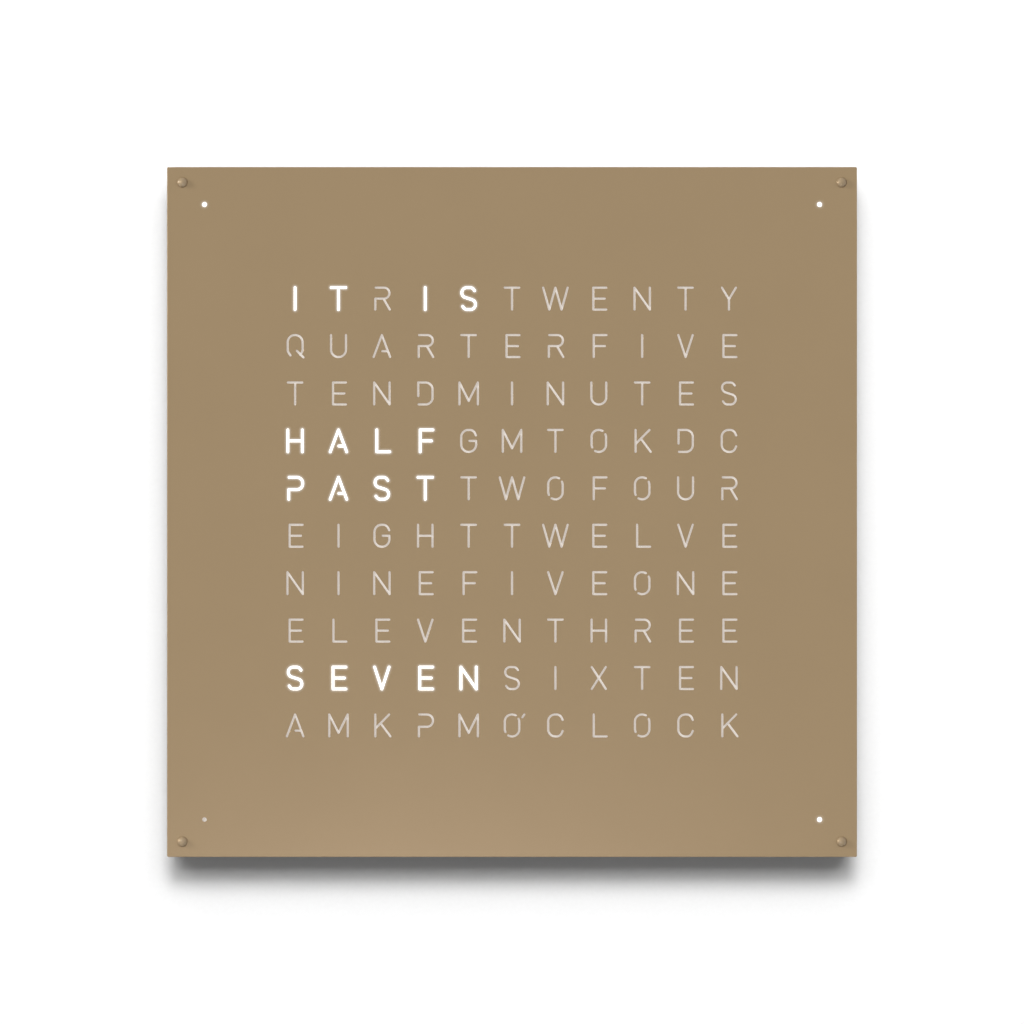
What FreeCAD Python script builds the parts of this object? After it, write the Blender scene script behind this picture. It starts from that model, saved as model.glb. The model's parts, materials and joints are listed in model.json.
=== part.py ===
import FreeCAD, Part
import math
import os

import Sketcher

from FreeCAD import Rotation, Vector

# Wall word clock, in millimetres. +X is right, +Z is up, the front faces -Y and the wall is Y = 0.
# "Depth" is the distance out from the wall, so a point at depth d has Y = -d.
# A square metal cover with a stencilled grid of letters is held by four pins and magnets to a
# shallow shell. The shell carries the lamps, the light grid and the electronics, and it hangs on
# two hooks of a wall bracket.

os.makedirs("parts", exist_ok=True)
document = FreeCAD.newDocument("word_clock")

# ---------------------------------------------------------------------------------------------
# The grid of letters: the words of the time, with a few spare letters between them
# ---------------------------------------------------------------------------------------------
LETTER_ROWS = (
    "ITRISTWENTY",
    "QUARTERFIVE",
    "TENDMINUTES",
    "HALFGMTOKDC",
    "PASTTWOFOUR",
    "EIGHTTWELVE",
    "NINEFIVEONE",
    "ELEVENTHREE",
    "SEVENSIXTEN",
    "AMKPMOCLOCK",
)
ROWS = len(LETTER_ROWS)
COLUMNS = len(LETTER_ROWS[0])
CORNERS = ((-1, -1), (1, -1), (1, 1), (-1, 1))
SIDES = (-1, 1)

# Centre lines of the letters' strokes, as (x, z) in letter heights from the letter's centre.
# A point with a third number is a corner rounded to that radius. Each letter is open somewhere,
# so that the metal inside it stays joined to the rest of the cover.
STROKES = {
    "A": [[(-0.376, -0.5), (0, 0.5)], [(0, 0.5), (0.376, -0.5)], [(0.02, -0.235), (0.276, -0.235)]],
    "C": [[(0.33, 0.25), (0.22, 0.5, 0.25), (-0.33, 0.5, 0.32), (-0.33, -0.5, 0.32),
           (0.22, -0.5, 0.25), (0.33, -0.25)]],
    "D": [[(-0.32, -0.12), (-0.32, 0.5)],
          [(-0.32, 0.5), (0.33, 0.5, 0.31), (0.33, -0.5, 0.31), (-0.30, -0.5)]],
    "E": [[(-0.25, 0.5), (-0.25, -0.5)], [(-0.25, 0.5), (0.34, 0.5)], [(-0.25, 0), (0.27, 0)],
          [(-0.25, -0.5), (0.34, -0.5)]],
    "F": [[(-0.23, 0.5), (-0.23, -0.5)], [(-0.23, 0.5), (0.35, 0.5)], [(-0.23, 0), (0.28, 0)]],
    "G": [[(0.33, 0.25), (0.22, 0.5, 0.25), (-0.34, 0.5, 0.33), (-0.34, -0.5, 0.33),
           (0.34, -0.5, 0.33), (0.34, 0)], [(0.34, 0), (0.04, 0)]],
    "H": [[(-0.33, 0.5), (-0.33, -0.5)], [(0.33, 0.5), (0.33, -0.5)], [(-0.33, 0), (0.33, 0)]],
    "I": [[(0, 0.5), (0, -0.5)]],
    "K": [[(-0.30, 0.5), (-0.30, -0.5)], [(0.335, 0.5), (-0.30, -0.14)], [(-0.06, 0.102), (0.39, -0.5)]],
    "L": [[(-0.23, 0.5), (-0.23, -0.5)], [(-0.23, -0.5), (0.36, -0.5)]],
    "M": [[(-0.42, 0.5), (-0.42, -0.5)], [(0.42, 0.5), (0.42, -0.5)],
          [(-0.42, 0.5), (0, -0.34)], [(0.42, 0.5), (0, -0.34)]],
    "N": [[(-0.35, 0.5), (-0.35, -0.5)], [(0.35, 0.5), (0.35, -0.5)], [(-0.35, 0.5), (0.35, -0.5)]],
    "O": [[(-0.30, -0.3), (-0.33, -0.2, 0.3), (-0.33, 0.5, 0.32), (0.05, 0.5, 0.3), (0.17, 0.46)],
          [(0.30, 0.3), (0.33, 0.2, 0.3), (0.33, -0.5, 0.32), (-0.05, -0.5, 0.3), (-0.17, -0.46)]],
    "P": [[(-0.27, 0.5), (0.35, 0.5, 0.27), (0.35, -0.06, 0.27), (-0.29, -0.06)],
          [(-0.29, -0.06), (-0.29, -0.5)]],
    "Q": [[(-0.21, -0.43), (-0.34, -0.25, 0.25), (-0.34, 0.5, 0.33), (0.34, 0.5, 0.33),
           (0.34, -0.25, 0.25), (0.23, -0.40)], [(0.08, -0.22), (0.38, -0.52)]],
    "R": [[(-0.28, 0.5), (0.34, 0.5, 0.24), (0.34, 0, 0.24), (-0.30, 0)], [(-0.30, 0), (-0.30, -0.5)],
          [(0.07, 0), (0.36, -0.5)]],
    "S": [[(0.27, 0.36), (0.17, 0.5, 0.2), (-0.31, 0.5, 0.23), (-0.31, 0.1, 0.22),
           (0.31, -0.1, 0.22), (0.31, -0.5, 0.23), (-0.17, -0.5, 0.2), (-0.27, -0.36)]],
    "T": [[(-0.33, 0.5), (0.33, 0.5)], [(0, 0.5), (0, -0.5)]],
    "U": [[(-0.34, 0.5), (-0.34, -0.5, 0.33), (0.34, -0.5, 0.33), (0.34, 0.5)]],
    "V": [[(-0.33, 0.5), (0, -0.5)], [(0.33, 0.5), (0, -0.5)]],
    "W": [[(-0.56, 0.5), (-0.28, -0.5)], [(-0.28, -0.5), (0, 0.5)], [(0, 0.5), (0.28, -0.5)],
          [(0.28, -0.5), (0.56, 0.5)]],
    "X": [[(-0.32, 0.5), (0.32, -0.5)], [(0.32, 0.5), (-0.32, -0.5)]],
    "Y": [[(-0.32, 0.5), (0, -0.03)], [(0.32, 0.5), (0, -0.03)], [(0, -0.03), (0, -0.5)]],
    "apostrophe": [[(0.065, 0.5), (-0.02, 0.37)]],
}
APOSTROPHE_ROW = 9
APOSTROPHE_COLUMN = 5.25

# The push buttons, from left to right as seen from the front
BUTTONS = ("mode_button", "hour_button", "minute_button", "brightness_button")
CAPACITORS = 3

# ---------------------------------------------------------------------------------------------
# Driving dimensions
# ---------------------------------------------------------------------------------------------
DRIVING = (
    ("cover_side", 450.0, "side of the square front cover"),
    ("cover_thickness", 2.0, "sheet of the cover"),
    ("cover_corner", 1.0, "corner radius of the cover"),
    ("cover_edge", 0.3, "bevel round the cover's front"),
    ("cover_gap", 0.2, "air between the shell and the cover"),
    ("letter_height", 14.3, "between the centre lines of a letter's top and bottom strokes"),
    ("stroke_width", 1.45, "width of a letter's stroke"),
    ("letter_pitch_x", 28.3, "from column to column"),
    ("letter_pitch_z", 30.94, "from row to row"),
    ("mark_inset", 24.4, "minute mark to the cover's edge"),
    ("mark_diameter", 3.0, "hole of a minute mark"),
    ("pin_inset", 10.0, "cover pin to the cover's edge"),
    ("pin_diameter", 3.0, "shank of a cover pin"),
    ("pin_head_diameter", 7.0, "domed head of a cover pin"),
    ("pin_head_height", 2.2, "domed head of a cover pin"),
    ("pin_clearance", 0.08, "radial, in the cover and in the socket"),
    ("pin_end_gap", 0.2, "pin's end to its magnet"),
    ("nut_width", 5.5, "across the flats"),
    ("nut_height", 2.0, "nut that holds a pin to the cover"),
    ("nut_gap", 0.4, "nut to the socket's post"),
    ("nut_room", 1.0, "radial room round a nut"),
    ("bush_diameter", 6.0, "socket bush and magnet"),
    ("bush_length", 4.6, "socket bush"),
    ("magnet_thickness", 3.0, "holding magnet under a bush"),
    ("post_side", 13.0, "square post that holds a socket"),
    ("seat_clearance", 0.05, "radial, round pieces pressed or screwed into the shell"),
    ("shell_inset", 2.0, "shell's side to the cover's edge"),
    ("shell_wall", 2.5, "side wall"),
    ("shell_corner", 4.0, "outer corner radius"),
    ("back_thickness", 2.0, "back wall"),
    ("ledge_width", 5.0, "ledge that the diffuser rests on"),
    ("wall_gap", 3.0, "wall to the shell's back, and height of the bumpers"),
    ("bumper_diameter", 12.0, "rubber bumper"),
    ("bumper_inset", 18.0, "bumper to the shell's sides"),
    ("diffuser_thickness", 1.5, "opal sheet"),
    ("drop_in_gap", 0.3, "round a piece laid into its seat"),
    ("grid_height", 5.7, "light grid, from the lamp board to the diffuser"),
    ("grid_wall", 1.2, "wall between two cells of the light grid"),
    ("grid_ear_reach", 6.0, "grid's side to its screws"),
    ("grid_ear_width", 12.0, "screw ear of the light grid"),
    ("grid_ear_thickness", 2.0, "screw ear of the light grid"),
    ("grid_screw_high", 140.0, "outer grid screws to the middle"),
    ("grid_screw_low", 47.0, "inner grid screws to the middle"),
    ("board_standoff", 4.0, "lamp boards above the shell's floor"),
    ("board_thickness", 1.6, "circuit boards"),
    ("board_end_margin", 8.0, "lamp board past the grid's top and bottom"),
    ("board_side_margin", 5.0, "lamp board past the grid's screws"),
    ("lamp_side", 5.0, "square lamp"),
    ("lamp_height", 1.6, "square lamp"),
    ("driver_side", 8.0, "lamp driver chip"),
    ("driver_height", 1.0, "lamp driver chip"),
    ("driver_place", 60.0, "lamp driver chip to the centre planes"),
    ("screw_diameter", 3.0, "machine screw"),
    ("screw_head_diameter", 5.5, "machine screw"),
    ("screw_head_height", 1.8, "machine screw"),
    ("screw_end_gap", 0.6, "screw's end above the shell's floor"),
    ("screw_hole_clearance", 0.2, "radial, in what the screw holds"),
    ("boss_diameter", 7.0, "screw boss"),
    ("sheet_screw_diameter", 2.5, "countersunk screw of the diffuser"),
    ("sheet_screw_head", 4.7, "countersunk screw of the diffuser"),
    ("sheet_screw_sink", 1.1, "depth of its conical head"),
    ("sheet_screw_length", 6.5, "countersunk screw of the diffuser"),
    ("sheet_screw_place", 110.0, "countersunk screws to the centre planes"),
    ("mark_board_long", 26.0, "board of a minute mark"),
    ("mark_board_short", 14.0, "board of a minute mark"),
    ("mark_board_end", 7.0, "minute mark to the board's outer end"),
    ("mark_screw_reach", 14.0, "minute mark to its board's screw"),
    ("well_diameter", 10.0, "light well of a minute mark"),
    ("well_wall", 1.2, "light well of a minute mark"),
    ("plug_long", 5.0, "lead plug, square on its board"),
    ("plug_height", 3.5, "lead plug under a lamp board"),
    ("plug_reach", 6.6, "minute mark to the lead plug of its board"),
    ("lead_plug_inset_x", 9.25, "lead plugs to the lamp board's sides"),
    ("lead_plug_inset_z", 13.3, "lead plugs to the lamp board's top and bottom"),
    ("lead_radius", 0.9, "lead"),
    ("lead_bend", 10.0, "bend radius of a lead"),
    ("bracket_width", 220.0, "wall bracket"),
    ("bracket_height", 150.0, "wall bracket"),
    ("bracket_thickness", 1.5, "sheet of the wall bracket"),
    ("bracket_corner", 6.0, "corner radius of the bracket's plate"),
    ("wall_screws_x", 180.0, "between the bracket's screw holes"),
    ("wall_screws_z", 110.0, "between the bracket's screw holes"),
    ("wall_screw_hole", 5.0, "diameter"),
    ("hook_spacing", 140.0, "between the hooks"),
    ("hook_width", 36.0, "hook of the bracket"),
    ("hook_rise", 8.0, "lip above the hook's arm"),
    ("hook_gap", 0.2, "rail above the hook's arm at rest"),
    ("hook_side_gap", 1.0, "beside a hook in its slot"),
    ("lip_gap", 0.3, "rail to the hook's lip"),
    ("lift_travel", 10.0, "how far the clock is lifted to leave the hooks"),
    ("rail_thickness", 1.0, "steel strip over the slots"),
    ("rail_height", 20.0, "steel strip over the slots"),
    ("rail_overhang", 12.0, "strip past the slots"),
    ("rivet_diameter", 3.0, "rivet of the strip"),
    ("rivet_head_diameter", 5.2, "rivet of the strip"),
    ("rivet_head_height", 0.8, "rivet of the strip"),
    ("rivet_inset", 6.0, "rivets to the strip's ends"),
    ("rivet_rise", 12.0, "rivets above the strip's lower edge"),
    ("recess_width", 38.0, "cable recess, inside"),
    ("recess_height", 18.0, "cable recess, inside"),
    ("recess_depth", 11.7, "cable recess, from the shell's back"),
    ("recess_wall", 1.5, "wall round the cable recess"),
    ("inlet_rise", 28.0, "power inlet's axis above the shell's lower edge"),
    ("inlet_depth", 9.6, "depth of the power inlet's axis"),
    ("channel_width", 8.0, "cable channel, inside"),
    ("channel_depth", 5.0, "cable channel, from the shell's back"),
    ("jack_side", 9.0, "power inlet, square body"),
    ("jack_length", 14.0, "power inlet"),
    ("jack_bore", 6.3, "diameter of the inlet's socket"),
    ("jack_bore_depth", 10.0, "the inlet's socket"),
    ("jack_pin_diameter", 2.0, "centre pin of the inlet"),
    ("fit_gap", 0.1, "beside a piece set close to its neighbour"),
    ("main_board_width", 160.0, "controller board"),
    ("main_board_height", 45.0, "controller board"),
    ("main_board_margin", 2.5, "ledge below the controller board to its edge"),
    ("main_board_standoff", 3.0, "controller board above the shell's floor"),
    ("main_screw_inset", 5.0, "controller board's screws to its edges"),
    ("button_inset", 38.1, "last button to the controller board's right end"),
    ("button_pitch", 20.0, "from button to button"),
    ("button_diameter", 4.0, "button"),
    ("button_clearance", 0.08, "radial, of a button in its bore"),
    ("button_flange", 6.0, "diameter of the flange that keeps a button in"),
    ("button_flange_thickness", 0.9, "the same flange"),
    ("button_play", 0.3, "flange to the ledge at rest"),
    ("button_proud", 0.8, "button outside the shell"),
    ("button_travel", 0.5, "stroke of a button"),
    ("switch_width", 6.0, "push switch"),
    ("switch_height", 3.5, "push switch, along its stroke"),
    ("switch_thickness", 3.5, "push switch, above the board"),
    ("switch_stem_diameter", 2.0, "push switch"),
    ("switch_stem_length", 0.8, "push switch"),
    ("sensor_inset", 14.1, "light sensor to the controller board's right end"),
    ("sensor_width", 4.0, "light sensor"),
    ("sensor_window_diameter", 3.0, "window of the light sensor"),
    ("antenna_inset", 20.5, "antenna's axis to the ledge beside it"),
    ("antenna_depth", 10.5, "axis of the antenna's rod"),
    ("rod_diameter", 8.0, "ferrite rod"),
    ("rod_length", 80.0, "ferrite rod"),
    ("coil_diameter", 11.0, "antenna coil"),
    ("coil_length", 30.0, "antenna coil"),
    ("clip_width", 12.0, "antenna clip"),
    ("clip_length", 6.0, "antenna clip, along the rod"),
    ("clip_rise", 1.5, "clip past the rod's axis"),
    ("clip_inset", 7.0, "middle of an antenna clip to the rod's end"),
    ("receiver_width", 14.0, "radio receiver board"),
    ("receiver_height", 22.0, "radio receiver board"),
    ("coil_lead_radius", 0.4, "leads of the antenna coil"),
    ("coil_lead_place", 5.0, "leads of the antenna coil to its middle"),
    ("coil_lead_length", 5.5, "from the coil to the receiver board"),
    ("chip_side", 10.0, "controller chip"),
    ("chip_height", 1.4, "controller chip"),
    ("chip_across", 78.0, "controller chip to its board's left end"),
    ("chip_down", 20.0, "controller chip to its board's top edge"),
    ("cell_diameter", 20.0, "backup coin cell"),
    ("cell_thickness", 3.2, "backup coin cell"),
    ("holder_side", 23.0, "coin cell holder"),
    ("holder_base", 1.0, "coin cell holder under the cell"),
    ("cell_across", 40.0, "coin cell to its board's left end"),
    ("cell_down", 24.0, "coin cell to its board's top edge"),
    ("can_diameter", 6.3, "capacitor"),
    ("can_height", 5.4, "capacitor"),
    ("can_across", 112.0, "first capacitor to its board's left end"),
    ("can_pitch", 12.0, "from capacitor to capacitor"),
    ("can_down", 22.0, "capacitors to their board's top edge"),
    ("coil_side", 7.0, "power inductor"),
    ("coil_height", 4.0, "power inductor"),
    ("coil_across", 98.0, "power inductor to its board's left end"),
    ("coil_down", 22.0, "power inductor to its board's top edge"),
    ("crystal_diameter", 3.0, "clock crystal"),
    ("crystal_length", 8.0, "clock crystal"),
    ("crystal_across", 88.0, "clock crystal's left end to its board's left end"),
    ("crystal_down", 12.0, "clock crystal to its board's top edge"),
    ("regulator_side", 6.5, "voltage regulator"),
    ("regulator_height", 2.3, "voltage regulator"),
    ("regulator_across", 18.0, "voltage regulator to its board's left end"),
    ("regulator_down", 14.0, "voltage regulator to its board's top edge"),
    ("header_width", 22.0, "header of the ribbon cable"),
    ("header_long", 5.0, "header of the ribbon cable"),
    ("header_height", 3.0, "header of the ribbon cable"),
    ("header_margin", 1.0, "header to its board's edge"),
    ("ribbon_width", 19.0, "ribbon cable"),
    ("ribbon_thickness", 0.8, "ribbon cable"),
    ("ribbon_inset", 40.1, "ribbon cable to the controller board's right end"),
)

# Sizes that follow from the driving ones
DERIVED = (
    ("floor_depth", "dims.wall_gap + dims.back_thickness"),
    ("board_depth", "floor_depth + dims.board_standoff"),
    ("grid_depth", "board_depth + dims.board_thickness"),
    ("diffuser_depth", "grid_depth + dims.grid_height"),
    ("body_front", "diffuser_depth + dims.diffuser_thickness"),
    ("cover_depth", "body_front + dims.cover_gap"),
    ("shell_side", "dims.cover_side - 2 * dims.shell_inset"),
    ("shell_height", "body_front - dims.wall_gap"),
    ("inner_side", "shell_side - 2 * dims.shell_wall"),
    ("ledge_side", "inner_side - 2 * dims.ledge_width"),
    ("edge_screw_place", "(inner_side - dims.ledge_width) / 2"),
    ("bumper_place", "shell_side / 2 - dims.bumper_inset"),
    ("mark_place", "dims.cover_side / 2 - dims.mark_inset"),
    ("pin_place", "dims.cover_side / 2 - dims.pin_inset"),
    ("post_top", "cover_depth - dims.nut_height - dims.nut_gap"),
    ("magnet_front", "post_top - dims.bush_length"),
    ("pin_hole_radius", "dims.pin_diameter / 2 + dims.pin_clearance"),
    ("pin_length", "cover_depth + dims.cover_thickness - magnet_front - dims.pin_end_gap"),
    ("nut_circle", "dims.nut_width / sqrt(3)"),
    ("head_ball", "(dims.pin_head_diameter ^ 2 / 4 + dims.pin_head_height ^ 2) / (2 * dims.pin_head_height)"),
    ("grid_width", f"{COLUMNS} * dims.letter_pitch_x + dims.grid_wall"),
    ("grid_tall", f"{ROWS} * dims.letter_pitch_z + dims.grid_wall"),
    ("grid_screw_x", "grid_width / 2 + dims.grid_ear_reach"),
    ("lamp_board_width", "2 * (grid_screw_x + dims.board_side_margin)"),
    ("lamp_board_height", "grid_tall + 2 * dims.board_end_margin"),
    ("lead_plug_x", "lamp_board_width / 2 - dims.lead_plug_inset_x"),
    ("lead_plug_z", "lamp_board_height / 2 - dims.lead_plug_inset_z"),
    ("thread_radius", "dims.screw_diameter / 2 + dims.seat_clearance"),
    ("passing_radius", "dims.screw_diameter / 2 + dims.screw_hole_clearance"),
    ("mark_screw_place", "mark_place - dims.mark_screw_reach"),
    ("mark_board_centre", "mark_place + dims.mark_board_end - dims.mark_board_long / 2"),
    ("mark_plug_place", "mark_place - dims.plug_reach"),
    ("plug_depth", "board_depth - dims.plug_height"),
    ("lead_depth", "board_depth - dims.plug_height / 2"),
    ("rail_bottom", "dims.bracket_height / 2 + dims.hook_gap"),
    ("rail_width", "dims.hook_spacing + dims.hook_width + 2 * dims.rail_overhang"),
    ("rivet_outer", "rail_width / 2 - dims.rivet_inset"),
    ("rivet_inner", "dims.hook_spacing / 2 - dims.hook_width / 2 - dims.rivet_inset"),
    ("rivet_z", "rail_bottom + dims.rivet_rise"),
    ("rivet_grip", "dims.back_thickness + dims.rail_thickness"),
    ("slot_height", "dims.bracket_thickness + dims.lift_travel + dims.hook_gap + dims.lip_gap"),
    ("lip_depth", "floor_depth + dims.rail_thickness + dims.lip_gap"),
    ("hook_reach", "lip_depth + dims.bracket_thickness"),
    ("inlet_z", "dims.inlet_rise - shell_side / 2"),
    ("recess_x", "-dims.recess_wall - dims.recess_width / 2"),
    ("channel_x", "recess_x - dims.recess_width / 2 + dims.channel_width / 2"),
    ("main_board_depth", "floor_depth + dims.main_board_standoff"),
    ("main_board_front", "main_board_depth + dims.board_thickness"),
    ("main_board_x", "dims.fit_gap + dims.main_board_width / 2"),
    ("main_board_right", "dims.fit_gap + dims.main_board_width"),
    ("main_board_low", "dims.main_board_margin - ledge_side / 2"),
    ("main_board_top", "main_board_low + dims.main_board_height"),
    ("main_board_z", "main_board_low + dims.main_board_height / 2"),
    ("main_screw_x", "dims.main_board_width / 2 - dims.main_screw_inset"),
    ("main_screw_z", "dims.main_board_height / 2 - dims.main_screw_inset"),
    ("button_depth", "main_board_front + dims.switch_thickness / 2"),
    ("button_last_x", "main_board_right - dims.button_inset"),
    ("button_first_x", f"button_last_x - {len(BUTTONS) - 1} * dims.button_pitch"),
    ("sensor_x", "main_board_right - dims.sensor_inset"),
    ("ribbon_x", "main_board_right - dims.ribbon_inset"),
    ("flange_low", "-ledge_side / 2 + dims.button_play"),
    ("switch_low", "flange_low + dims.button_flange_thickness + dims.button_travel + dims.drop_in_gap"),
    ("antenna_x", "dims.antenna_inset - ledge_side / 2"),
    ("clip_place", "dims.rod_length / 2 - dims.clip_inset"),
    ("coil_edge_x", "antenna_x + dims.coil_diameter / 2"),
    ("receiver_x", "coil_edge_x + dims.coil_lead_length + dims.receiver_width / 2"),
    ("receiver_front", "board_depth + dims.board_thickness"),
)


def make_sheet(name, rows):
    """A spreadsheet with one named value to a row."""
    sheet = document.addObject("Spreadsheet::Sheet", name)
    for number, row in enumerate(rows, start=1):
        sheet.set(f"A{number}", row[0])
        sheet.set(f"B{number}", str(row[1]))
        sheet.setAlias(f"B{number}", row[0])
        sheet.set(f"C{number}", row[2])
    document.recompute()
    return sheet


dims = make_sheet("dims", DRIVING)
layout = make_sheet("layout", [(name, "=" + formula, "derived") for name, formula in DERIVED])


# ---------------------------------------------------------------------------------------------
# Helpers
# ---------------------------------------------------------------------------------------------
def bind(item, **formulas):
    """Tie properties of an object to the sheets."""
    for name, formula in formulas.items():
        item.setExpression(name, formula)


def place(item, x="0", depth="0", z="0"):
    """Put an object's own origin at x, depth and z."""
    item.setExpression("Placement.Base.x", x)
    item.setExpression("Placement.Base.y", f"-({depth})")
    item.setExpression("Placement.Base.z", z)


def spot(x, depth, z):
    """A point of the clock's frame."""
    return Vector(x, -depth, z)


def rect(x, z, wide, tall):
    """A rectangle of a sketch, by its centre and its sides."""
    return ("rect", x, z, wide, tall)


def disc(x, z, radius):
    """A circle of a sketch."""
    return ("disc", x, z, radius)


def at_corners(x, z, shape, *sizes):
    """The same loop at the four corners of a rectangle round the centre."""
    return [shape(f"{side_x} * {x}", f"{side_z} * {z}", *sizes) for side_x, side_z in CORNERS]


def named_limit(sketch, constraint, name, formula):
    """Add a constraint and tie it to the sheets."""
    number = sketch.addConstraint(constraint)
    sketch.renameConstraint(number, name)
    sketch.setExpression(f"Constraints.{name}", formula)


def draw_rectangle(sketch, tag, x, z, wide, tall):
    """A fully constrained rectangle."""
    limit = Sketcher.Constraint
    first = sketch.GeometryCount
    corners = (Vector(-1, -1, 0), Vector(1, -1, 0), Vector(1, 1, 0), Vector(-1, 1, 0))
    for number in range(4):
        sketch.addGeometry(Part.LineSegment(corners[number], corners[(number + 1) % 4]), False)
    for number in range(4):
        sketch.addConstraint(limit("Coincident", first + number, 2, first + (number + 1) % 4, 1))
        sketch.addConstraint(limit("Vertical" if number % 2 else "Horizontal", first + number))
    named_limit(sketch, limit("DistanceX", -1, 1, first, 1, -1), f"left{tag}", f"{x} - ({wide}) / 2")
    named_limit(sketch, limit("DistanceY", -1, 1, first, 1, -1), f"low{tag}", f"{z} - ({tall}) / 2")
    named_limit(sketch, limit("DistanceX", first, 1, first, 2, 2), f"wide{tag}", wide)
    named_limit(sketch, limit("DistanceY", first + 1, 1, first + 1, 2, 2), f"tall{tag}", tall)


def draw_circle(sketch, tag, x, z, radius):
    """A fully constrained circle."""
    limit = Sketcher.Constraint
    first = sketch.GeometryCount
    sketch.addGeometry(Part.Circle(Vector(1, 1, 0), Vector(0, 0, 1), 1), False)
    named_limit(sketch, limit("DistanceX", -1, 1, first, 3, 1), f"across{tag}", x)
    named_limit(sketch, limit("DistanceY", -1, 1, first, 3, 1), f"up{tag}", z)
    named_limit(sketch, limit("Radius", first, 1), f"radius{tag}", radius)


class Piece:
    """A PartDesign body. Its sketches face the front unless another plane is named."""

    def __init__(self, label, x="0", depth="0", z="0"):
        self.label = label
        self.body = document.addObject("PartDesign::Body", label)
        place(self.body, x, depth, z)

    def origin_item(self, role):
        return next(item for item in self.body.Origin.OriginFeatures if item.Role == role)

    def sketch(self, name, start, loops, plane="XZ_Plane"):
        sketch = self.body.newObject("Sketcher::SketchObject", f"{self.label}_{name}_sketch")
        sketch.AttachmentSupport = [(self.origin_item(plane), "")]
        sketch.MapMode = "FlatFace"
        sketch.setExpression("AttachmentOffset.Base.z", start)
        for tag, (kind, *numbers) in enumerate(loops):
            draw = draw_rectangle if kind == "rect" else draw_circle
            draw(sketch, tag, *numbers)
        return sketch

    def feature(self, kind, name, start, length, loops, plane):
        profile = self.sketch(name, start, loops, plane)
        feature = self.body.newObject(f"PartDesign::{kind}", f"{self.label}_{name}")
        feature.Profile = profile
        feature.setExpression("Length", length)
        return feature

    def pad(self, name, start, length, loops, plane="XZ_Plane"):
        """Material from the start, out along the sketch's normal."""
        return self.feature("Pad", name, start, length, loops, plane)

    def pocket(self, name, start, length, loops, plane="XZ_Plane"):
        """A cut from the start, out along the sketch's normal."""
        feature = self.feature("Pocket", name, start, length, loops, plane)
        feature.Reversed = True
        return feature

    def round_corners(self, radius):
        """Round the edges that run along the depth."""
        document.recompute()
        base = self.body.Tip
        edges = []
        for number, edge in enumerate(base.Shape.Edges, start=1):
            across = edge.Vertexes[1].Point - edge.Vertexes[0].Point
            if abs(across.x) + abs(across.z) < abs(across.y) / 1000:
                edges.append(f"Edge{number}")
        fillet = self.body.newObject("PartDesign::Fillet", f"{self.label}_corners")
        fillet.Base = (base, edges)
        fillet.setExpression("Radius", radius)
        return fillet


def block(label, wide, thick, tall, x="0", depth="0", z="0"):
    """A box centred on x and z, with its back face at the given depth."""
    item = document.addObject("Part::Box", label)
    bind(item, Length=wide, Width=thick, Height=tall)
    place(item, f"{x} - ({wide}) / 2", f"{depth} + {thick}", f"{z} - ({tall}) / 2")
    return item


TURNS = {
    "depth": Rotation(Vector(1, 0, 0), 90),
    "x": Rotation(Vector(0, 1, 0), 90),
    "z": Rotation(),
}


def rod(label, radius, length, x="0", depth="0", z="0", along="depth"):
    """A cylinder that starts at a point and runs out along the depth, +X or +Z."""
    item = document.addObject("Part::Cylinder", label)
    item.Placement.Rotation = TURNS[along]
    bind(item, Radius=radius, Height=length)
    place(item, x, depth, z)
    return item


def fuse(label, *items):
    item = document.addObject("Part::MultiFuse", label)
    item.Shapes = items
    return item


def cut(label, base, tool):
    item = document.addObject("Part::Cut", label)
    item.Base = base
    item.Tool = tool
    return item


def group(label, solids, depth=0.0):
    """A node that holds several separate solids."""
    item = document.addObject("Part::Feature", label)
    item.Shape = Part.makeCompound(solids)
    item.Placement = FreeCAD.Placement(spot(0, depth, 0), Rotation())
    return item


def copies(label, pattern, places, depth=0.0):
    """A node with a copy of the pattern's shape at every (x, z) place."""
    document.recompute()
    solids = []
    for x, z in places:
        solid = pattern.Shape.copy()
        solid.translate(Vector(x, 0, z))
        solids.append(solid)
    return group(label, solids, depth)


def corner_places(x, z):
    return [(side_x * x, side_z * z) for side_x, side_z in CORNERS]


def letter_places():
    """(letter, x, z) of every letter of the grid."""
    places = []
    for row, letters in enumerate(LETTER_ROWS):
        for column, letter in enumerate(letters):
            places.append((letter, *lattice_place(column, row)))
    return places


def lattice_place(column, row):
    x = (column - (COLUMNS - 1) / 2) * dims.letter_pitch_x
    z = ((ROWS - 1) / 2 - row) * dims.letter_pitch_z
    return x, z


def button_x(number):
    return f"layout.button_first_x + {number} * dims.button_pitch"


# ---------------------------------------------------------------------------------------------
# Rounded paths, for the strokes of the letters and for the leads
# ---------------------------------------------------------------------------------------------
def rounded_path(points):
    """Runs of a path as (start, end, centre). The centre is None on a straight run."""
    runs = []
    start = Vector(points[0][0], 0, points[0][1])
    for before, corner, after in zip(points, points[1:], points[2:]):
        here = Vector(corner[0], 0, corner[1])
        inward = (here - Vector(before[0], 0, before[1])).normalize()
        outward = (Vector(after[0], 0, after[1]) - here).normalize()
        half_turn = inward.getAngle(outward) / 2
        setback = corner[2] * math.tan(half_turn)
        bend_start = here - inward * setback
        if (bend_start - start).dot(inward) < 0:
            raise ValueError(f"no room for the bend at {corner}")
        bend_end = here + outward * setback
        centre = here + (outward - inward).normalize() * (corner[2] / math.cos(half_turn))
        runs.append((start, bend_start, None))
        runs.append((bend_start, bend_end, centre))
        start = bend_end
    runs.append((start, Vector(points[-1][0], 0, points[-1][1]), None))
    return [run for run in runs if (run[1] - run[0]).Length > 1e-6]


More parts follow.
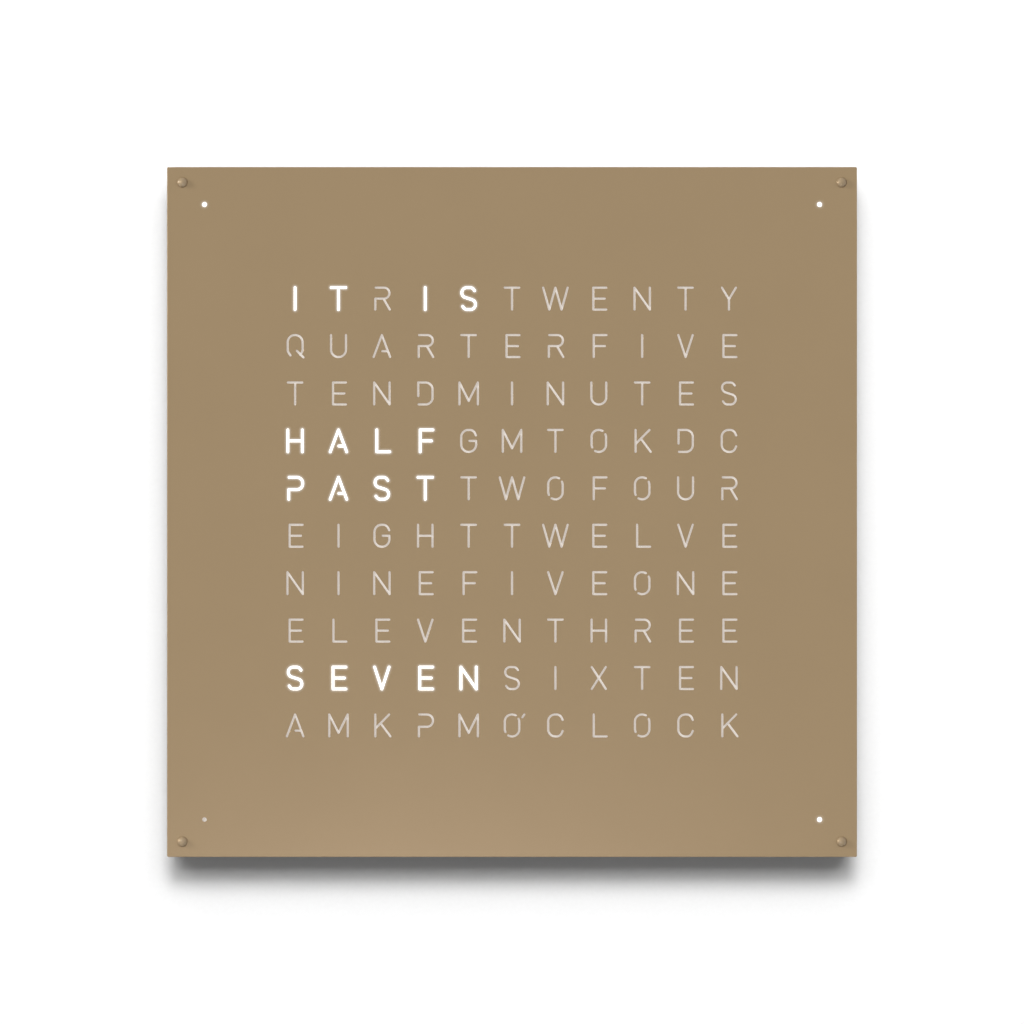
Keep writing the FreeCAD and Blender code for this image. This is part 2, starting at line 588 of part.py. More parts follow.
def side_edge(run, shift):
    """Edge of one run, moved sideways to the left as seen from the front."""
    start, end, centre = run
    facing = Vector(0, -1, 0)
    if centre is None:
        side = facing.cross((end - start).normalize()) * shift
        return Part.LineSegment(start + side, end + side).toShape()
    first = start - centre
    last = end - centre
    turns_left = facing.dot(first.cross(last)) > 0
    radius = first.Length - shift if turns_left else first.Length + shift
    points = [centre + arm.normalize() * radius for arm in (first, first + last, last)]
    return Part.Arc(*points).toShape()


def round_cap(end, side, along, radius):
    """Half circle round the end of a stroke."""
    return Part.Arc(end + side * radius, end + along * radius, end - side * radius).toShape()


def end_direction(run, at_start):
    """Unit direction of travel at one end of a run."""
    start, end, centre = run
    if centre is None:
        return (end - start).normalize()
    facing = Vector(0, -1, 0)
    turns_left = facing.dot((start - centre).cross(end - centre)) > 0
    arm = ((start if at_start else end) - centre).normalize()
    return facing.cross(arm) * (1 if turns_left else -1)


def stroke_solid(points, width, thickness):
    """A stroke with round ends, as a solid from depth 0 outwards."""
    runs = rounded_path(points)
    radius = width / 2
    facing = Vector(0, -1, 0)
    first_way = end_direction(runs[0], True)
    last_way = end_direction(runs[-1], False)
    edges = [side_edge(run, radius) for run in runs]
    edges.append(round_cap(runs[-1][1], facing.cross(last_way), last_way, radius))
    edges += [side_edge(run, -radius) for run in reversed(runs)]
    edges.append(round_cap(runs[0][0], facing.cross(first_way), -first_way, radius))
    return Part.Face(Part.Wire(edges)).extrude(facing * thickness)


def letter_solid(letter, x, z, thickness):
    """The opening of one letter, with its centre at x and z."""
    strokes = []
    for stroke in STROKES[letter]:
        points = [tuple(number * dims.letter_height for number in point) for point in stroke]
        strokes.append(stroke_solid(points, dims.stroke_width, thickness))
    solid = strokes[0]
    if len(strokes) > 1:
        solid = solid.fuse(strokes[1:]).removeSplitter()
    solid.translate(Vector(x, 0, z))
    return solid


def lead_solid(points):
    """A round lead along a path through (x, z) points."""
    edges = [side_edge(run, 0) for run in rounded_path(points)]
    start = Vector(points[0][0], 0, points[0][1])
    along = Vector(points[1][0], 0, points[1][1]) - start
    section = Part.Wire(Part.makeCircle(dims.lead_radius, start, along))
    return Part.Wire(edges).makePipeShell([section], True, True)


# ---------------------------------------------------------------------------------------------
# Wall bracket
# ---------------------------------------------------------------------------------------------
def make_wall_bracket():
    """Sheet plate with four screw holes and two hooks bent out of its top edge."""
    piece = Piece("wall_bracket")
    plate = [rect("0", "0", "dims.bracket_width", "dims.bracket_height")]
    piece.pad("plate", "0", "dims.bracket_thickness", plate)
    piece.round_corners("dims.bracket_corner")
    arms = []
    lips = []
    for side in SIDES:
        x = f"{side} * dims.hook_spacing / 2"
        top = "dims.bracket_height / 2"
        arms.append(rect(x, f"{top} - dims.bracket_thickness / 2", "dims.hook_width",
                         "dims.bracket_thickness"))
        lips.append(rect(x, f"{top} + (dims.hook_rise - dims.bracket_thickness) / 2",
                         "dims.hook_width", "dims.hook_rise + dims.bracket_thickness"))
    piece.pad("arms", "0", "layout.hook_reach", arms)
    piece.pad("lips", "layout.lip_depth", "dims.bracket_thickness", lips)
    holes = at_corners("dims.wall_screws_x / 2", "dims.wall_screws_z / 2", disc,
                       "dims.wall_screw_hole / 2")
    piece.pocket("screw_holes", "0", "dims.bracket_thickness", holes)
    return piece.body


# ---------------------------------------------------------------------------------------------
# Rear shell
# ---------------------------------------------------------------------------------------------
def shell_depth(depth):
    """A depth of the clock, counted from the shell's back face."""
    return f"{depth} - dims.wall_gap"


def add_shell_tray(piece):
    """Back wall, side walls, and the ledge under the edge of the diffuser."""
    piece.pad("outline", "0", "layout.shell_height",
              [rect("0", "0", "layout.shell_side", "layout.shell_side")])
    piece.round_corners("dims.shell_corner")
    piece.pocket("cavity", "dims.back_thickness", "layout.shell_height",
                 [rect("0", "0", "layout.ledge_side", "layout.ledge_side")])
    piece.pocket("diffuser_seat", shell_depth("layout.diffuser_depth"), "layout.shell_height",
                 [rect("0", "0", "layout.inner_side", "layout.inner_side")])


def add_pin_sockets(piece):
    """Four corner posts, each bored for a magnet and a bush."""
    posts = at_corners("layout.pin_place", "layout.pin_place", rect, "dims.post_side", "dims.post_side")
    piece.pad("posts", "dims.back_thickness", "layout.post_top - layout.floor_depth", posts)
    piece.pocket("nut_rooms", shell_depth("layout.post_top"), "layout.shell_height",
                 at_corners("layout.pin_place", "layout.pin_place", disc,
                            "layout.nut_circle + dims.nut_room"))
    piece.pocket("sockets", shell_depth("layout.magnet_front - dims.magnet_thickness"),
                 "dims.bush_length + dims.magnet_thickness",
                 at_corners("layout.pin_place", "layout.pin_place", disc,
                            "dims.bush_diameter / 2 + dims.seat_clearance"))


def grid_screw_loops(shape, *sizes):
    loops = at_corners("layout.grid_screw_x", "dims.grid_screw_high", shape, *sizes)
    return loops + at_corners("layout.grid_screw_x", "dims.grid_screw_low", shape, *sizes)


def main_screw_loops(shape, *sizes, x="0", z="0"):
    """The same loop at the four screws of the controller board."""
    loops = []
    for side_x, side_z in CORNERS:
        loops.append(shape(f"{x} + {side_x} * layout.main_screw_x",
                           f"{z} + {side_z} * layout.main_screw_z", *sizes))
    return loops


def add_bosses(piece):
    """Bosses under the lamp board, the minute marks' boards and the controller board."""
    tall = grid_screw_loops(disc, "dims.boss_diameter / 2")
    tall += at_corners("layout.mark_screw_place", "layout.mark_place", disc, "dims.boss_diameter / 2")
    tall += at_corners("layout.mark_place", "layout.mark_place", disc, "dims.boss_diameter / 2")
    tall.append(disc("layout.receiver_x", "dims.receiver_height / 2 - dims.boss_diameter / 2",
                     "dims.boss_diameter / 2"))
    piece.pad("tall_bosses", "dims.back_thickness", "dims.board_standoff", tall)
    low = main_screw_loops(disc, "dims.boss_diameter / 2", x="layout.main_board_x",
                           z="layout.main_board_z")
    piece.pad("low_bosses", "dims.back_thickness", "dims.main_board_standoff", low)
    holes = grid_screw_loops(disc, "layout.thread_radius")
    holes += at_corners("layout.mark_screw_place", "layout.mark_place", disc, "layout.thread_radius")
    holes += main_screw_loops(disc, "layout.thread_radius", x="layout.main_board_x",
                              z="layout.main_board_z")
    piece.pocket("boss_holes", "dims.back_thickness", "dims.board_standoff", holes)


def edge_screw_places(x="layout.edge_screw_place", z="dims.sheet_screw_place"):
    """Expressions for the eight screws along the diffuser's edges."""
    places = [(f"{side_x} * {x}", f"{side_z} * {z}") for side_x, side_z in CORNERS]
    places += [(f"{side_x} * {z}", f"{side_z} * {x}") for side_x, side_z in CORNERS]
    return places


def add_shell_holes(piece):
    """Slots for the hooks, and holes for rivets, diffuser screws, buttons and light sensor."""
    slots = []
    for side in SIDES:
        slots.append(rect(f"{side} * dims.hook_spacing / 2", "layout.rail_bottom - layout.slot_height / 2",
                          "dims.hook_width + 2 * dims.hook_side_gap", "layout.slot_height"))
    piece.pocket("hook_slots", "0", "dims.back_thickness", slots)
    rivets = []
    for side in SIDES:
        for x in ("layout.rivet_inner", "layout.rivet_outer"):
            rivets.append(disc(f"{side} * {x}", "layout.rivet_z",
                               "dims.rivet_diameter / 2 + dims.seat_clearance"))
    piece.pocket("rivet_holes", "0", "dims.back_thickness", rivets)
    screws = [disc(x, z, "dims.sheet_screw_diameter / 2 + dims.seat_clearance")
              for x, z in edge_screw_places()]
    piece.pocket("diffuser_screw_holes",
                 shell_depth("layout.body_front - dims.sheet_screw_length - dims.drop_in_gap"),
                 "layout.shell_height", screws)
    bores = []
    for number in range(len(BUTTONS)):
        bores.append(disc(button_x(number), "dims.wall_gap - layout.button_depth",
                          "dims.button_diameter / 2 + dims.button_clearance"))
    bores.append(disc("layout.sensor_x", "dims.wall_gap - layout.button_depth",
                      "dims.sensor_window_diameter / 2 + dims.seat_clearance"))
    piece.pocket("bottom_bores", "-layout.shell_side / 2", "dims.shell_wall + dims.ledge_width",
                 bores, plane="XY_Plane")


def add_cable_recess(piece):
    """Recess in the back for the power plug, with a channel to the bottom edge."""
    outer_height = "dims.recess_height + 2 * dims.recess_wall"
    channel_tall = "dims.inlet_rise"
    channel_z = "layout.inlet_z - dims.inlet_rise / 2"
    inlet_side = "dims.jack_side + 2 * dims.fit_gap"
    piece.pad("recess_block", "dims.back_thickness",
              "dims.recess_depth + dims.recess_wall - dims.back_thickness",
              [rect("layout.recess_x", "layout.inlet_z", "dims.recess_width + 2 * dims.recess_wall",
                    outer_height)])
    piece.pad("channel_block", "dims.back_thickness",
              "dims.channel_depth + dims.recess_wall - dims.back_thickness",
              [rect("layout.channel_x", channel_z, "dims.channel_width + 2 * dims.recess_wall",
                    channel_tall)])
    piece.pocket("recess", "0", "dims.recess_depth",
                 [rect("layout.recess_x", "layout.inlet_z", "dims.recess_width", "dims.recess_height")])
    piece.pocket("channel", "0", "dims.channel_depth",
                 [rect("layout.channel_x", channel_z, "dims.channel_width", channel_tall)])
    piece.pocket("inlet_opening", "-2 * dims.recess_wall", "2 * dims.recess_wall",
                 [rect("dims.wall_gap - dims.inlet_depth", "layout.inlet_z", inlet_side, inlet_side)],
                 plane="YZ_Plane")


def make_rear_shell():
    piece = Piece("rear_shell", depth="dims.wall_gap")
    add_shell_tray(piece)
    add_pin_sockets(piece)
    add_bosses(piece)
    add_cable_recess(piece)
    add_shell_holes(piece)
    return piece.body


# ---------------------------------------------------------------------------------------------
# What hangs the clock on its bracket
# ---------------------------------------------------------------------------------------------
def make_hanger_rail():
    """Steel strip on the shell's floor, whose lower edge rests on the hooks."""
    piece = Piece("hanger_rail", depth="layout.floor_depth", z="layout.rail_bottom")
    strip = [rect("0", "dims.rail_height / 2", "layout.rail_width", "dims.rail_height")]
    piece.pad("strip", "0", "dims.rail_thickness", strip)
    holes = []
    for side in SIDES:
        for x in ("layout.rivet_inner", "layout.rivet_outer"):
            holes.append(disc(f"{side} * {x}", "layout.rivet_z - layout.rail_bottom",
                              "dims.rivet_diameter / 2 + dims.seat_clearance"))
    piece.pocket("rivet_holes", "0", "dims.rail_thickness", holes)
    return piece.body


def make_rail_rivets():
    shank = rod("rivet_shank", "dims.rivet_diameter / 2", "layout.rivet_grip")
    back_head = rod("rivet_back_head", "dims.rivet_head_diameter / 2", "dims.rivet_head_height",
                    depth="-dims.rivet_head_height")
    front_head = rod("rivet_front_head", "dims.rivet_head_diameter / 2", "dims.rivet_head_height",
                     depth="layout.rivet_grip")
    rivet = fuse("rivet_pattern", shank, back_head, front_head)
    places = [(side * x, layout.rivet_z) for side in SIDES for x in (layout.rivet_inner, layout.rivet_outer)]
    return copies("rail_rivets", rivet, places, dims.wall_gap)


def make_wall_bumpers():
    bumper = rod("bumper_pattern", "dims.bumper_diameter / 2", "dims.wall_gap")
    return copies("wall_bumpers", bumper, corner_places(layout.bumper_place, layout.bumper_place))


# ---------------------------------------------------------------------------------------------
# Lamps and what spreads their light
# ---------------------------------------------------------------------------------------------
def make_lamp_board():
    piece = Piece("lamp_board", depth="layout.board_depth")
    piece.pad("sheet", "0", "dims.board_thickness",
              [rect("0", "0", "layout.lamp_board_width", "layout.lamp_board_height")])
    piece.pocket("screw_holes", "0", "dims.board_thickness",
                 grid_screw_loops(disc, "layout.passing_radius"))
    return piece.body


def make_letter_lamps():
    lamp = block("lamp_pattern", "dims.lamp_side", "dims.lamp_height", "dims.lamp_side")
    places = [(x, z) for _, x, z in letter_places()]
    return copies("letter_lamps", lamp, places, layout.grid_depth)


def make_lamp_drivers():
    chip = block("driver_pattern", "dims.driver_side", "dims.driver_height", "dims.driver_side")
    places = corner_places(dims.driver_place, dims.driver_place)
    return copies("lamp_drivers", chip, places, layout.board_depth - dims.driver_height)


def make_light_grid():
    """One cell to a letter, and eight screw ears at the sides."""
    piece = Piece("light_grid", depth="layout.grid_depth")
    piece.pad("block", "0", "dims.grid_height",
              [rect("0", "0", "layout.grid_width", "layout.grid_tall")])
    ears = []
    for side in SIDES:
        for z in ("dims.grid_screw_high", "dims.grid_screw_low"):
            for up in SIDES:
                ears.append(rect(f"{side} * (layout.grid_screw_x - dims.grid_wall / 2)", f"{up} * {z}",
                                 "dims.grid_ear_width", "dims.grid_ear_width"))
    piece.pad("ears", "0", "dims.grid_ear_thickness", ears)
    piece.pocket("ear_holes", "0", "dims.grid_ear_thickness",
                 grid_screw_loops(disc, "layout.passing_radius"))
    first_x = f"-{(COLUMNS - 1) / 2} * dims.letter_pitch_x"
    first_z = f"-{(ROWS - 1) / 2} * dims.letter_pitch_z"
    cell = piece.pocket("cell", "0", "dims.grid_height",
                        [rect(first_x, first_z, "dims.letter_pitch_x - dims.grid_wall",
                              "dims.letter_pitch_z - dims.grid_wall")])
    cells = piece.body.newObject("PartDesign::MultiTransform", "light_grid_cells")
    cells.Originals = [cell]
    across = piece.body.newObject("PartDesign::LinearPattern", "light_grid_columns")
    across.Direction = (piece.origin_item("X_Axis"), [""])
    across.Occurrences = COLUMNS
    across.setExpression("Length", f"{COLUMNS - 1} * dims.letter_pitch_x")
    upward = piece.body.newObject("PartDesign::LinearPattern", "light_grid_rows")
    upward.Direction = (piece.origin_item("Z_Axis"), [""])
    upward.Occurrences = ROWS
    upward.setExpression("Length", f"{ROWS - 1} * dims.letter_pitch_z")
    cells.Transformations = [across, upward]
    piece.body.Tip = cells
    return piece.body


def make_diffuser():
    """Opal sheet over the whole front, countersunk for its eight screws."""
    piece = Piece("diffuser_sheet", depth="layout.diffuser_depth")
    side = "layout.inner_side - 2 * dims.drop_in_gap"
    piece.pad("sheet", "0", "dims.diffuser_thickness", [rect("0", "0", side, side)])
    piece.round_corners("dims.cover_corner")
    piece.pocket("nut_holes", "0", "dims.diffuser_thickness",
                 at_corners("layout.pin_place", "layout.pin_place", disc,
                            "layout.nut_circle + dims.nut_room"))
    places = edge_screw_places()
    piece.pocket("screw_holes", "0", "dims.diffuser_thickness",
                 [disc(x, z, "dims.sheet_screw_diameter / 2 + dims.screw_hole_clearance")
                  for x, z in places])
    document.recompute()
    piece.pocket("screw_head_seats", "dims.diffuser_thickness - dims.sheet_screw_sink",
                 "dims.sheet_screw_sink",
                 [disc(x, z, "dims.sheet_screw_head / 2 + dims.seat_clearance") for x, z in places])
    return piece.body


def make_screw_pattern(label, seat_depth):
    """Pan head in front of the origin, and a shank that ends just above the shell's floor."""
    length = f"{seat_depth} - layout.floor_depth - dims.screw_end_gap"
    head = rod(f"{label}_head", "dims.screw_head_diameter / 2", "dims.screw_head_height")
    shank = rod(f"{label}_shank", "dims.screw_diameter / 2", length, depth=f"-({length})")
    return fuse(f"{label}_pattern", head, shank)


def make_grid_screws():
    screw = make_screw_pattern("grid_screw", "layout.grid_depth + dims.grid_ear_thickness")
    places = corner_places(layout.grid_screw_x, dims.grid_screw_high)
    places += corner_places(layout.grid_screw_x, dims.grid_screw_low)
    return copies("grid_screws", screw, places, layout.grid_depth + dims.grid_ear_thickness)


def make_diffuser_screws():
    """Countersunk screws, flush with the front of the diffuser."""
    head = document.addObject("Part::Cone", "sheet_screw_cone")
    head.Placement.Rotation = TURNS["depth"]
    bind(head, Radius1="dims.sheet_screw_diameter / 2", Radius2="dims.sheet_screw_head / 2",
         Height="dims.sheet_screw_sink")
    place(head, depth="-dims.sheet_screw_sink")
    shank = rod("sheet_screw_shank", "dims.sheet_screw_diameter / 2",
                "dims.sheet_screw_length - dims.sheet_screw_sink / 2", depth="-dims.sheet_screw_length")
    screw = fuse("sheet_screw_pattern", head, shank)
    far = layout.edge_screw_place
    near = dims.sheet_screw_place
    return copies("diffuser_screws", screw, corner_places(far, near) + corner_places(near, far),
                  layout.body_front)


# ---------------------------------------------------------------------------------------------
# Minute marks: a small board, a lamp and a light well in each corner
# ---------------------------------------------------------------------------------------------
def make_mark_boards():
    """The four boards, each with its screw towards the centre plane."""
    solids = []
    thickness = dims.board_thickness
    for side_x, side_z in CORNERS:
        corner = Vector(side_x * layout.mark_board_centre - dims.mark_board_long / 2, -thickness,
                        side_z * layout.mark_place - dims.mark_board_short / 2)
        board = Part.makeBox(dims.mark_board_long, thickness, dims.mark_board_short, corner)
        hole_start = spot(side_x * layout.mark_screw_place, 0, side_z * layout.mark_place)
        hole = Part.makeCylinder(layout.passing_radius, thickness, hole_start, Vector(0, -1, 0))
        solids.append(board.cut(hole))
    return group("mark_boards", solids, layout.board_depth)


def make_mark_lamps():
    lamp = block("mark_lamp_pattern", "dims.lamp_side", "dims.lamp_height", "dims.lamp_side")
    return copies("mark_lamps", lamp, corner_places(layout.mark_place, layout.mark_place),
                  layout.grid_depth)


def make_light_wells():
    outside = rod("well_outside", "dims.well_diameter / 2", "dims.grid_height")
    inside = rod("well_inside", "dims.well_diameter / 2 - dims.well_wall", "dims.grid_height")
    well = cut("well_pattern", outside, inside)
    return copies("light_wells", well, corner_places(layout.mark_place, layout.mark_place),
                  layout.grid_depth)


def make_mark_screws():
    screw = make_screw_pattern("mark_screw", "layout.grid_depth")
    return copies("mark_screws", screw, corner_places(layout.mark_screw_place, layout.mark_place),
                  layout.grid_depth)


def make_lead_plugs():
    """Plugs on the backs of the lamp board, the minute marks' boards and the receiver board."""
    plug = block("plug_pattern", "dims.plug_long", "dims.plug_height", "dims.plug_long")
    places = corner_places(layout.lead_plug_x, layout.lead_plug_z)
    places += corner_places(layout.mark_plug_place, layout.mark_place)
    places += [(-layout.lead_plug_x, 0), (layout.receiver_x, 0)]
    return copies("lead_plugs", plug, places, layout.plug_depth)


def make_mark_leads():
    """A lead from each corner of the lamp board to the minute mark's board beside it."""
    half_plug = dims.plug_long / 2
    solids = []
    for side_x, side_z in CORNERS:
        solids.append(lead_solid([
            (side_x * (layout.lead_plug_x + half_plug), side_z * layout.lead_plug_z),
            (side_x * layout.mark_plug_place, side_z * layout.lead_plug_z, dims.lead_bend),
            (side_x * layout.mark_plug_place, side_z * (layout.mark_place - half_plug)),
        ]))
    return group("mark_leads", solids, layout.lead_depth)


# ---------------------------------------------------------------------------------------------
# Controller board and what it carries
# ---------------------------------------------------------------------------------------------
def make_main_board():
    """Controller board, with a notch for the power inlet."""
    piece = Piece("controller_board", x="layout.main_board_x", depth="layout.main_board_depth",
                  z="layout.main_board_z")
    piece.pad("sheet", "0", "dims.board_thickness",
              [rect("0", "0", "dims.main_board_width", "dims.main_board_height")])
    notch_wide = "2 * (dims.jack_length - dims.recess_wall)"
    piece.pocket("inlet_notch", "0", "dims.board_thickness",
                 [rect("-dims.main_board_width / 2", "layout.inlet_z - layout.main_board_z", notch_wide,
                       "dims.jack_side + 2 * dims.fit_gap")])
    piece.pocket("screw_holes", "0", "dims.board_thickness",
                 main_screw_loops(disc, "layout.passing_radius"))
    return piece.body


def make_board_screws():
    screw = make_screw_pattern("board_screw", "layout.main_board_front")
    places = [(layout.main_board_x + side_x * layout.main_screw_x,
               layout.main_board_z + side_z * layout.main_screw_z) for side_x, side_z in CORNERS]
    return copies("board_screws", screw, places, layout.main_board_front)


def make_power_jack():
    """Barrel socket, flush in the side wall of the cable recess, and its centre pin."""
    mouth = "-dims.recess_wall"
    body = block("jack_body", "dims.jack_length", "dims.jack_side", "dims.jack_side",
                 f"{mouth} + dims.jack_length / 2", "dims.inlet_depth - dims.jack_side / 2",
                 "layout.inlet_z")
    bore = rod("jack_socket", "dims.jack_bore / 2", "dims.jack_bore_depth", mouth,
               "dims.inlet_depth", "layout.inlet_z", along="x")
    pin = rod("power_jack_pin", "dims.jack_pin_diameter / 2",
              "dims.jack_bore_depth - dims.jack_pin_diameter / 2",
              f"{mouth} + dims.jack_pin_diameter / 2", "dims.inlet_depth", "layout.inlet_z", along="x")
    return [cut("power_jack", body, bore), pin]


def on_board(name):
    """Expressions for the place of a part on the controller board."""
    return f"dims.fit_gap + dims.{name}_across", f"layout.main_board_top - dims.{name}_down"


def make_board_parts():
    """Chip, regulator, inductor, crystal, coin cell and its holder."""
    front = "layout.main_board_front"
    x, z = on_board("chip")
    chip = block("controller_chip", "dims.chip_side", "dims.chip_height", "dims.chip_side", x, front, z)
    x, z = on_board("regulator")
    regulator = block("voltage_regulator", "dims.regulator_side", "dims.regulator_height",
                      "dims.regulator_side", x, front, z)
    x, z = on_board("coil")
    inductor = block("power_inductor", "dims.coil_side", "dims.coil_height", "dims.coil_side", x, front, z)
    x, z = on_board("crystal")
    crystal = rod("clock_crystal", "dims.crystal_diameter / 2", "dims.crystal_length", x,
                  f"{front} + dims.crystal_diameter / 2", z, along="x")
    x, z = on_board("cell")
    tray = block("holder_tray", "dims.holder_side", "dims.holder_base + dims.cell_thickness",
                 "dims.holder_side", x, front, z)
    well = rod("holder_well", "dims.cell_diameter / 2 + dims.fit_gap", "dims.cell_thickness", x,
               f"{front} + dims.holder_base", z)
    holder = cut("cell_holder", tray, well)
    cell = rod("coin_cell", "dims.cell_diameter / 2", "dims.cell_thickness", x,
               f"{front} + dims.holder_base", z)
    return [chip, regulator, inductor, crystal, holder, cell]


def make_capacitors():
    can = rod("capacitor_pattern", "dims.can_diameter / 2", "dims.can_height")
    first_x = dims.fit_gap + dims.can_across
    z = layout.main_board_top - dims.can_down
    places = [(first_x + number * dims.can_pitch, z) for number in range(CAPACITORS)]
    return copies("capacitors", can, places, layout.main_board_front)


def make_ribbon():
    """Ribbon cable from the controller board to the lamp board, and its two headers."""
    gap_bottom = "(layout.main_board_top - dims.header_margin)"
    gap_top = "(dims.header_margin - layout.lamp_board_height / 2)"
    low = block("header_low", "dims.header_width", "dims.header_height", "dims.header_long",
                "layout.ribbon_x", "layout.main_board_front", f"{gap_bottom} - dims.header_long / 2")
    high = block("header_high", "dims.header_width", "dims.header_height", "dims.header_long",
                 "layout.ribbon_x", "layout.grid_depth", f"{gap_top} + dims.header_long / 2")
    ribbon = block("ribbon_cable", "dims.ribbon_width", "dims.ribbon_thickness",
                   f"{gap_top} - {gap_bottom}", "layout.ribbon_x",
                   "layout.grid_depth + dims.ribbon_thickness / 2", f"({gap_top} + {gap_bottom}) / 2")
    document.recompute()
    return [group("ribbon_headers", [low.Shape, high.Shape]), ribbon]


# ---------------------------------------------------------------------------------------------
# Radio receiver
# ---------------------------------------------------------------------------------------------
def make_antenna():
    """Ferrite rod with its coil, held by two clips."""
    ferrite = rod("antenna_rod", "dims.rod_diameter / 2", "dims.rod_length", "layout.antenna_x",
                  "dims.antenna_depth", "-dims.rod_length / 2", along="z")
    wound = rod("coil_outside", "dims.coil_diameter / 2", "dims.coil_length", "layout.antenna_x",
                "dims.antenna_depth", "-dims.coil_length / 2", along="z")
    hollow = rod("coil_inside", "dims.rod_diameter / 2 + dims.seat_clearance", "dims.coil_length",
                 "layout.antenna_x", "dims.antenna_depth", "-dims.coil_length / 2", along="z")
    coil = cut("antenna_coil", wound, hollow)
    stand = block("clip_block", "dims.clip_width",
                  "dims.antenna_depth + dims.clip_rise - layout.floor_depth", "dims.clip_length",
                  depth="layout.floor_depth")
    seat = rod("clip_seat", "dims.rod_diameter / 2 + dims.seat_clearance", "dims.clip_length",
               depth="dims.antenna_depth", z="-dims.clip_length / 2", along="z")
    clip = cut("clip_pattern", stand, seat)
    places = [(layout.antenna_x, side * layout.clip_place) for side in SIDES]
    return [ferrite, coil, copies("antenna_clips", clip, places)]


def make_receiver():
    """Receiver board and chip beside the coil, and the leads on both sides of it."""
    board = block("receiver_board", "dims.receiver_width", "dims.board_thickness",
                  "dims.receiver_height", "layout.receiver_x", "layout.board_depth", "0")
    chip = block("receiver_chip", "dims.chip_side / 2", "dims.chip_height", "dims.chip_side / 2",
                 "layout.receiver_x", "layout.receiver_front", "0")
    lead_depth = layout.board_depth + dims.board_thickness / 2
    leads = []
    for side in SIDES:
        start = spot(layout.coil_edge_x, 0, side * dims.coil_lead_place)
        leads.append(Part.makeCylinder(dims.coil_lead_radius, dims.coil_lead_length, start,
                                       Vector(1, 0, 0)))
    half_plug = dims.plug_long / 2
    link = lead_solid([(layout.receiver_x + half_plug, 0), (-layout.lead_plug_x - half_plug, 0)])
    return [board, chip, group("coil_leads", leads, lead_depth),
            group("receiver_lead", [link], layout.lead_depth)]


# ---------------------------------------------------------------------------------------------
# Buttons and light sensor in the bottom edge
# ---------------------------------------------------------------------------------------------
def make_buttons():
    """Four round buttons, each kept in by a flange behind the ledge."""
    nodes = []
    bottom = "-layout.shell_side / 2 - dims.button_proud"
    for number, label in enumerate(BUTTONS):
        shank = rod(f"{label}_shank", "dims.button_diameter / 2", f"layout.flange_low - ({bottom})",
                    button_x(number), "layout.button_depth", bottom, along="z")
        flange = rod(f"{label}_flange", "dims.button_flange / 2", "dims.button_flange_thickness",
                     button_x(number), "layout.button_depth", "layout.flange_low", along="z")
        nodes.append(fuse(label, shank, flange))
    return nodes


def make_switches():
    """Push switches on the controller board's lower edge, with their stems towards the buttons."""
    body_low = "layout.switch_low + dims.switch_stem_length"
    body = block("switch_body", "dims.switch_width", "dims.switch_thickness", "dims.switch_height",
                 depth="0", z=f"{body_low} + dims.switch_height / 2")
    stem = rod("switch_stem", "dims.switch_stem_diameter / 2", "dims.switch_stem_length",
               depth="dims.switch_thickness / 2", z="layout.switch_low", along="z")
    switch = fuse("switch_pattern", body, stem)
    places = [(layout.button_first_x + number * dims.button_pitch, 0) for number in range(len(BUTTONS))]
    return copies("push_switches", switch, places, layout.main_board_front)


def make_light_sensor():
    window = rod("sensor_window", "dims.sensor_window_diameter / 2", "dims.shell_wall + dims.ledge_width",
                 "layout.sensor_x", "layout.button_depth", "-layout.shell_side / 2", along="z")
    body_low = "layout.switch_low + dims.switch_stem_length"
    sensor = block("light_sensor", "dims.sensor_width", "dims.switch_thickness", "dims.switch_height",
                   "layout.sensor_x", "layout.main_board_front", f"{body_low} + dims.switch_height / 2")
    return [window, sensor]


# ---------------------------------------------------------------------------------------------
# Pin sockets, and the cover with its pins
# ---------------------------------------------------------------------------------------------
def make_sockets():
    """A magnet at the bottom of each corner post and a brass bush in front of it."""
    magnet = rod("magnet_pattern", "dims.bush_diameter / 2", "dims.magnet_thickness")
    outside = rod("bush_outside", "dims.bush_diameter / 2", "dims.bush_length")
    inside = rod("bush_inside", "layout.pin_hole_radius", "dims.bush_length")
    bush = cut("bush_pattern", outside, inside)
    places = corner_places(layout.pin_place, layout.pin_place)
    return [copies("socket_magnets", magnet, places, layout.magnet_front - dims.magnet_thickness),
            copies("socket_bushes", bush, places, layout.magnet_front)]


def make_cover():
    """Square sheet with a bevelled front, its letters, its minute marks and its pin holes."""
    piece = Piece("cover_blank")
    piece.pad("sheet", "0", "dims.cover_thickness", [rect("0", "0", "dims.cover_side", "dims.cover_side")])
    piece.round_corners("dims.cover_corner")
    document.recompute()
    base = piece.body.Tip
    front_edges = []
    for number, edge in enumerate(base.Shape.Edges, start=1):
        if abs(edge.BoundBox.YMax + dims.cover_thickness) < 1e-6:
            front_edges.append(f"Edge{number}")
    bevel = piece.body.newObject("PartDesign::Chamfer", "cover_bevel")
    bevel.Base = (base, front_edges)
    bevel.setExpression("Size", "dims.cover_edge")
    piece.pocket("pin_holes", "0", "dims.cover_thickness",
                 at_corners("layout.pin_place", "layout.pin_place", disc, "layout.pin_hole_radius"))
    piece.pocket("minute_marks", "0", "dims.cover_thickness",
                 at_corners("layout.mark_place", "layout.mark_place", disc, "dims.mark_diameter / 2"))
    letters = [letter_solid(letter, x, z, dims.cover_thickness) for letter, x, z in letter_places()]
    apostrophe_x, apostrophe_z = lattice_place(APOSTROPHE_COLUMN, APOSTROPHE_ROW)
    letters.append(letter_solid("apostrophe", apostrophe_x, apostrophe_z, dims.cover_thickness))
    openings = group("letter_openings", letters)
    cover = cut("front_cover", piece.body, openings)
    place(cover, depth="layout.cover_depth")
    return cover


